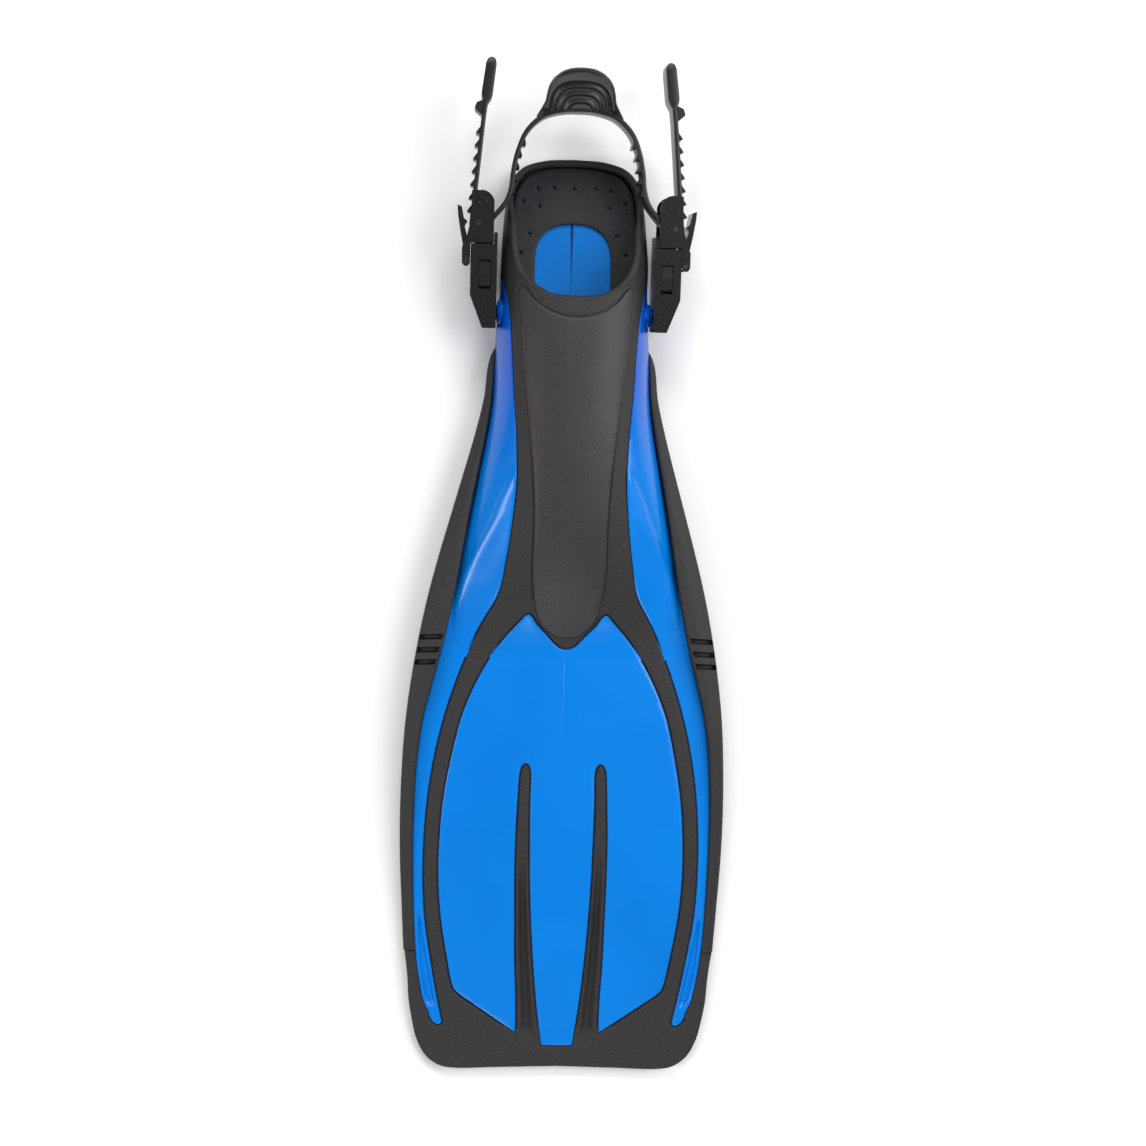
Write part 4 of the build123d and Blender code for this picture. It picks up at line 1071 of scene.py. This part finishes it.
loop_pts = smooth([t_in, t_in + t_dir * 9, p_in, (-42.6, 246.0), (-41.2, 258.0), (-38.6, 270.0), (-33.2, 282.3),
                   (-23.2, 291.6), (-11.0, 295.4), (0, 296.1), (11.0, 295.4)], 1.6)
loop_pts = loop_pts[:np.argmin(np.abs(loop_pts[:, 0])) + 1]
loop_pts[-1] = (0, 296.1)
tail_line = straight(tail1, tail0, 3.0)
kl = float(np.linalg.norm(k_end - tail1))
kick = np.array([k_end - kd * q for q in np.linspace(0, kl, 34)])[:-1]
half_path = np.vstack([kick, tail_line, arc, loop_pts])
half_thick = np.concatenate([np.interp(kl - np.linspace(0, kl, 34)[:-1], [0, 9.5, 13.5, 16, 33.5, 36.5, kl - 0.6, kl],
                                       [SH, SH, 3.3, 3.6, 3.4, 2.7, 1.6, 1.0]),
                             np.full(len(half_path) - 33, SH)])
half_tall = np.concatenate([np.interp(kl - np.linspace(0, kl, 34)[:-1], [0, 33.5, kl], [12.0, 12.0, 11.2]),
                            np.full(len(half_path) - 33, 12.0)])
path = np.vstack([half_path, (half_path[:-1] * [-1, 1])[::-1]])
thick = np.concatenate([half_thick, half_thick[:-1][::-1]])
tall = np.concatenate([half_tall, half_tall[:-1][::-1]])


def ribbon(path, thick, tall):
    t = np.gradient(path, axis=0)
    t /= np.linalg.norm(t, axis=1)[:, None]
    n = np.column_stack([-t[:, 1], t[:, 0]])
    verts, cnt = [], 0
    for p, m, h, w in zip(path, n, thick, tall):
        r = min(0.95, h * 0.66)
        ring = []
        for cx, cz, a0 in ((h - r, w - r, 0), (-(h - r), w - r, 90), (-(h - r), -(w - r), 180), (h - r, -(w - r), 270)):
            for k in range(5):
                a = math.radians(a0 + 22.5 * k)
                ring.append((cx + r * math.cos(a), cz + r * math.sin(a)))
        cnt = len(ring)
        verts += [(p[0] + m[0] * u, p[1] + m[1] * u, PZ + z) for u, z in ring]
    f = grid_faces(len(path), cnt, wrap=True)
    f.append(list(range(cnt)))
    f.append([len(verts) - cnt + k for k in range(cnt)][::-1])
    return verts, f


def prism(poly, z0, z1, bev=0.45):
    """An upright block with chamfered upper and lower edges."""
    p = ccw(np.array(poly, float))
    q = grown(p, -bev) if len(tidy(p)) == len(p) else p
    q = p - (p - p.mean(0)) * np.minimum(0.35, bev / (np.linalg.norm(p - p.mean(0), axis=1)[:, None] + 1e-9)) if len(q) != len(p) else q
    n = len(p)
    v = [(a, b, z0) for a, b in q] + [(a, b, z0 + bev) for a, b in p] + [(a, b, z1 - bev) for a, b in p] + [(a, b, z1) for a, b in q]
    return v, grid_faces(4, n, wrap=True) + [list(range(n))[::-1], [3 * n + k for k in range(n)]]


parts = [ribbon(path, thick, tall)]
n_out = np.array([-td[1], td[0]])
nk = np.array([-kd[1], kd[0]])
for sgn in (1, -1):
    def put(pts):
        return [(sgn * a, b) for a, b in pts]

    def at(o, d, m, u, v):
        return tuple(np.array(o) + np.array(d) * u + np.array(m) * v)
    parts.append(prism(put([at(tail1, kd, nk, u, v) for u, v in
                            ((1.0, SH - 0.5), (4.4, SH + 4.7), (5.4, SH + 5.0), (8.6, SH + 4.3), (9.2, SH + 3.6), (11.4, SH - 0.5))]),
                       W0 + 0.4, W1 - 0.4, 0.6))
    for j in range(7):
        b = tail0 + td * (6.2 + 8.2 * j)
        parts.append(prism(put([at(b, td, n_out, u, v) for u, v in
                                ((-0.1, SH - 0.5), (0.25, SH + 1.7), (0.7, SH + 2.2), (1.5, SH + 2.1), (5.6, SH - 0.5))]),
                           W0 + 0.5, W1 - 0.5, 0.4))
    seg = np.linalg.norm(np.diff(loop_pts, axis=0), axis=1)
    run = np.concatenate([[0], np.cumsum(seg)])
    for j in range(5):
        s0 = (0.262 + 0.073 * j) * run[-1]
        b = np.array([np.interp(s0, run, loop_pts[:, 0]), np.interp(s0, run, loop_pts[:, 1])])
        c = np.array([np.interp(s0 + 1, run, loop_pts[:, 0]), np.interp(s0 + 1, run, loop_pts[:, 1])])
        d = (c - b) / np.linalg.norm(c - b)
        m = np.array([d[1], -d[0]])
        parts.append(prism(put([at(b, d, m, u, v) for u, v in
                                ((0, SH - 0.5), (0.2, SH + 1.5), (0.6, SH + 2.0), (1.4, SH + 1.9), (5.2, SH - 0.5))]),
                           W0 + 0.6, W1 - 0.6, 0.4))
# pull tab, drawn in its own leaning plane
LEAN = math.radians(27)
tab_right = smooth([(0, 0.9), (10.5, 0.4), (20.0, -1.3), (27.0, -4.2), (27.6, -4.2), (24.8, 1.6), (22.5, 6.6), (21.6, 12.0), (20.2, 17.4),
                    (17.6, 21.8), (13.0, 25.8), (7.0, 28.3), (0, 29.0)], 0.9)
tab_loop = tidy(np.vstack([tab_right, (tab_right * [-1, 1])[::-1]]))


def tab_top(u, v):
    g = (np.abs(u / 19.4) ** 3 + (np.clip(v + 4, 0.01, None) / 24.4) ** 3) ** (1 / 3)
    on = np.clip((v - 0.4) / 2.2, 0, 1)
    rim_h = 1.0 / (1 + np.exp(-(g - 1.0) / 0.012))
    ridge = sum(np.exp(-(np.abs(g - c) / 0.048) ** 3) for c in (0.88, 0.68, 0.47))
    return 3.0 + on * (1.25 * rim_h + 1.05 * ridge * (1 - rim_h)) - 0.5 * on * (1 - rim_h)


xs, ys_ = np.meshgrid(np.arange(-21, 21.01, 0.62), np.arange(-1, 25, 0.56))
tabv, tabf = slab([tab_loop], tab_top, lambda u, v: 0 * u, r=1.5, step=1.2, rb=0.8,
                  extra=np.column_stack([xs.ravel(), ys_.ravel()]))
tabv = np.array(tabv)
tabv = np.column_stack([tabv[:, 0], 295.1 + tabv[:, 1] * math.cos(LEAN) - tabv[:, 2] * math.sin(LEAN),
                        W1 - 1.4 + tabv[:, 1] * math.sin(LEAN) + tabv[:, 2] * math.cos(LEAN)])
parts.append((tabv, tabf))
sv_, sf_ = join(*parts)
strap = finish_mesh("strap_band", tilt(sv_), sf_, M_STRAP, sharp=40, recalc=True)
piece(strap, "strap", ["heel_strap"])

# rings round the bosses and a rim round each pin end on the strap frames
ring_parts = []
for sgn in (1, -1):
    for (cx, cy, rr_, tr) in ((60.4, 236.7, 2.55, 0.38), (62.7, 223.0, 1.75, 0.3), (70.3, 200.0, 1.7, 0.28)):
        for zf, sg in ((44.5, 1), (15.5, -1)):
            vs = []
            for i in range(28):
                a = 2 * pi * i / 28
                for k in range(8):
                    b = 2 * pi * k / 8
                    q = rr_ + tr * math.cos(b)
                    vs.append((sgn * (cx + q * math.cos(a)), cy + q * math.sin(a),
                               zf + sg * ((0.4 if rr_ > 2 else 0.0) + tr * math.sin(b))))
            ff = grid_faces(28, 8, wrap=True)
            ff += [[27 * 8 + k, k, (k + 1) % 8, 27 * 8 + (k + 1) % 8][::-1] for k in range(8)]
            ring_parts.append((vs, ff))
rv, rf = join(*ring_parts)
rings = finish_mesh("pin_rims", tilt(rv), rf, M_LATCH, sharp=60, recalc=True)
piece(rings, "strap", [])

# ------------------------------------------------------------------ carried over buckles
body_of = {}
for b, ns in frame["record"]["behaviour"]["bodies"].items():
    for n in ns:
        body_of[n] = b
for n, ob in frame["nodes"].items():
    mat = None
    if n.startswith(("receiver", "strap_frame")):
        mat, w = M_BUCKLE, 0.6
    elif n.startswith(("latch", "pawl_lever", "strap_roller")):
        mat, w = M_LATCH, 0.3
    elif n.startswith(("roller_pin", "lever_pin", "lever_spring")):
        mat, w = M_STEEL, 0.0
    if mat is None:
        continue
    ob.data.materials.clear()
    ob.data.materials.append(mat)
    if w:
        md = ob.modifiers.new("edges", "BEVEL")
        md.width = w * MM
        md.segments = 2
        md.limit_method = "ANGLE"
        md.angle_limit = math.radians(35)
        md.harden_normals = False
        md.use_clamp_overlap = True

# ------------------------------------------------------------------ stage, light, camera
scene = bpy.context.scene
fl, nt, bs, co = nodes_of("pale floor")
n = noise(nt, co, 3, 2)
r = ramp(nt, n.outputs["Fac"], [(0.3, (0.93, 0.93, 0.93)), (0.7, (0.95, 0.95, 0.95))])
nt.links.new(r.outputs[0], bs.inputs["Base Color"])
bs.inputs["Roughness"].default_value = 0.9
floor = finish_mesh("floor", [(-6000, -6000, -1), (6000, -6000, -1), (6000, 6000, -1), (-6000, 6000, -1)], [[0, 1, 2, 3]], fl)

world = bpy.data.worlds.new("studio")
scene.world = world
world.use_nodes = True
bg = world.node_tree.nodes["Background"]
bg.inputs[0].default_value = (1, 1, 1, 1)
bg.inputs[1].default_value = 0.10


def area_light(name, loc, target, size, power, sy=None):
    d = bpy.data.lights.new(name, "AREA")
    d.shape = "RECTANGLE"
    d.size, d.size_y = size, sy or size
    d.energy = power
    o = bpy.data.objects.new(name, d)
    scene.collection.objects.link(o)
    o.location = loc
    o.rotation_euler = (Vector(target) - Vector(loc)).to_track_quat("-Z", "Y").to_euler()
    return o


area_light("key", (1.05, 0.30, 1.20), (0, 0, 0), 0.9, 21, 1.5)
area_light("strip", (-1.16, -0.30, 1.00), (0, -0.1, 0), 0.20, 8.0, 0.8)
area_light("heel", (-0.10, 1.25, 1.25), (0, 0.1, 0), 1.0, 15, 0.5)
area_light("toe", (-0.2, -1.45, 1.1), (0, -0.1, 0), 1.1, 9, 0.5)

D, K0 = 1300.0, 0.66
phi, th = math.radians(3.3), math.radians(1.2)
d = np.array([math.sin(phi), 0, -math.cos(phi)])
r0 = np.array([math.cos(phi), 0, math.sin(phi)])
Yv = np.array([0, 1.0, 0])
rr = r0 * math.cos(th) + Yv * math.sin(th)
uu = -r0 * math.sin(th) + Yv * math.cos(th)
C = np.array([4.5, 0, 5.0]) - d * D
cam = bpy.data.cameras.new("camera")
cam.sensor_fit = "HORIZONTAL"
cam.sensor_width = 36.0
cam.lens = 36.0 * (D / K0) / 1146.0
cam.clip_end = 50
co_ = bpy.data.objects.new("camera", cam)
scene.collection.objects.link(co_)
m = Matrix.Identity(4)
for i in range(3):
    m[i][0], m[i][1], m[i][2], m[i][3] = rr[i], uu[i], -d[i], C[i] * MM
co_.matrix_world = m
scene.camera = co_
scene.view_settings.view_transform = "Standard"
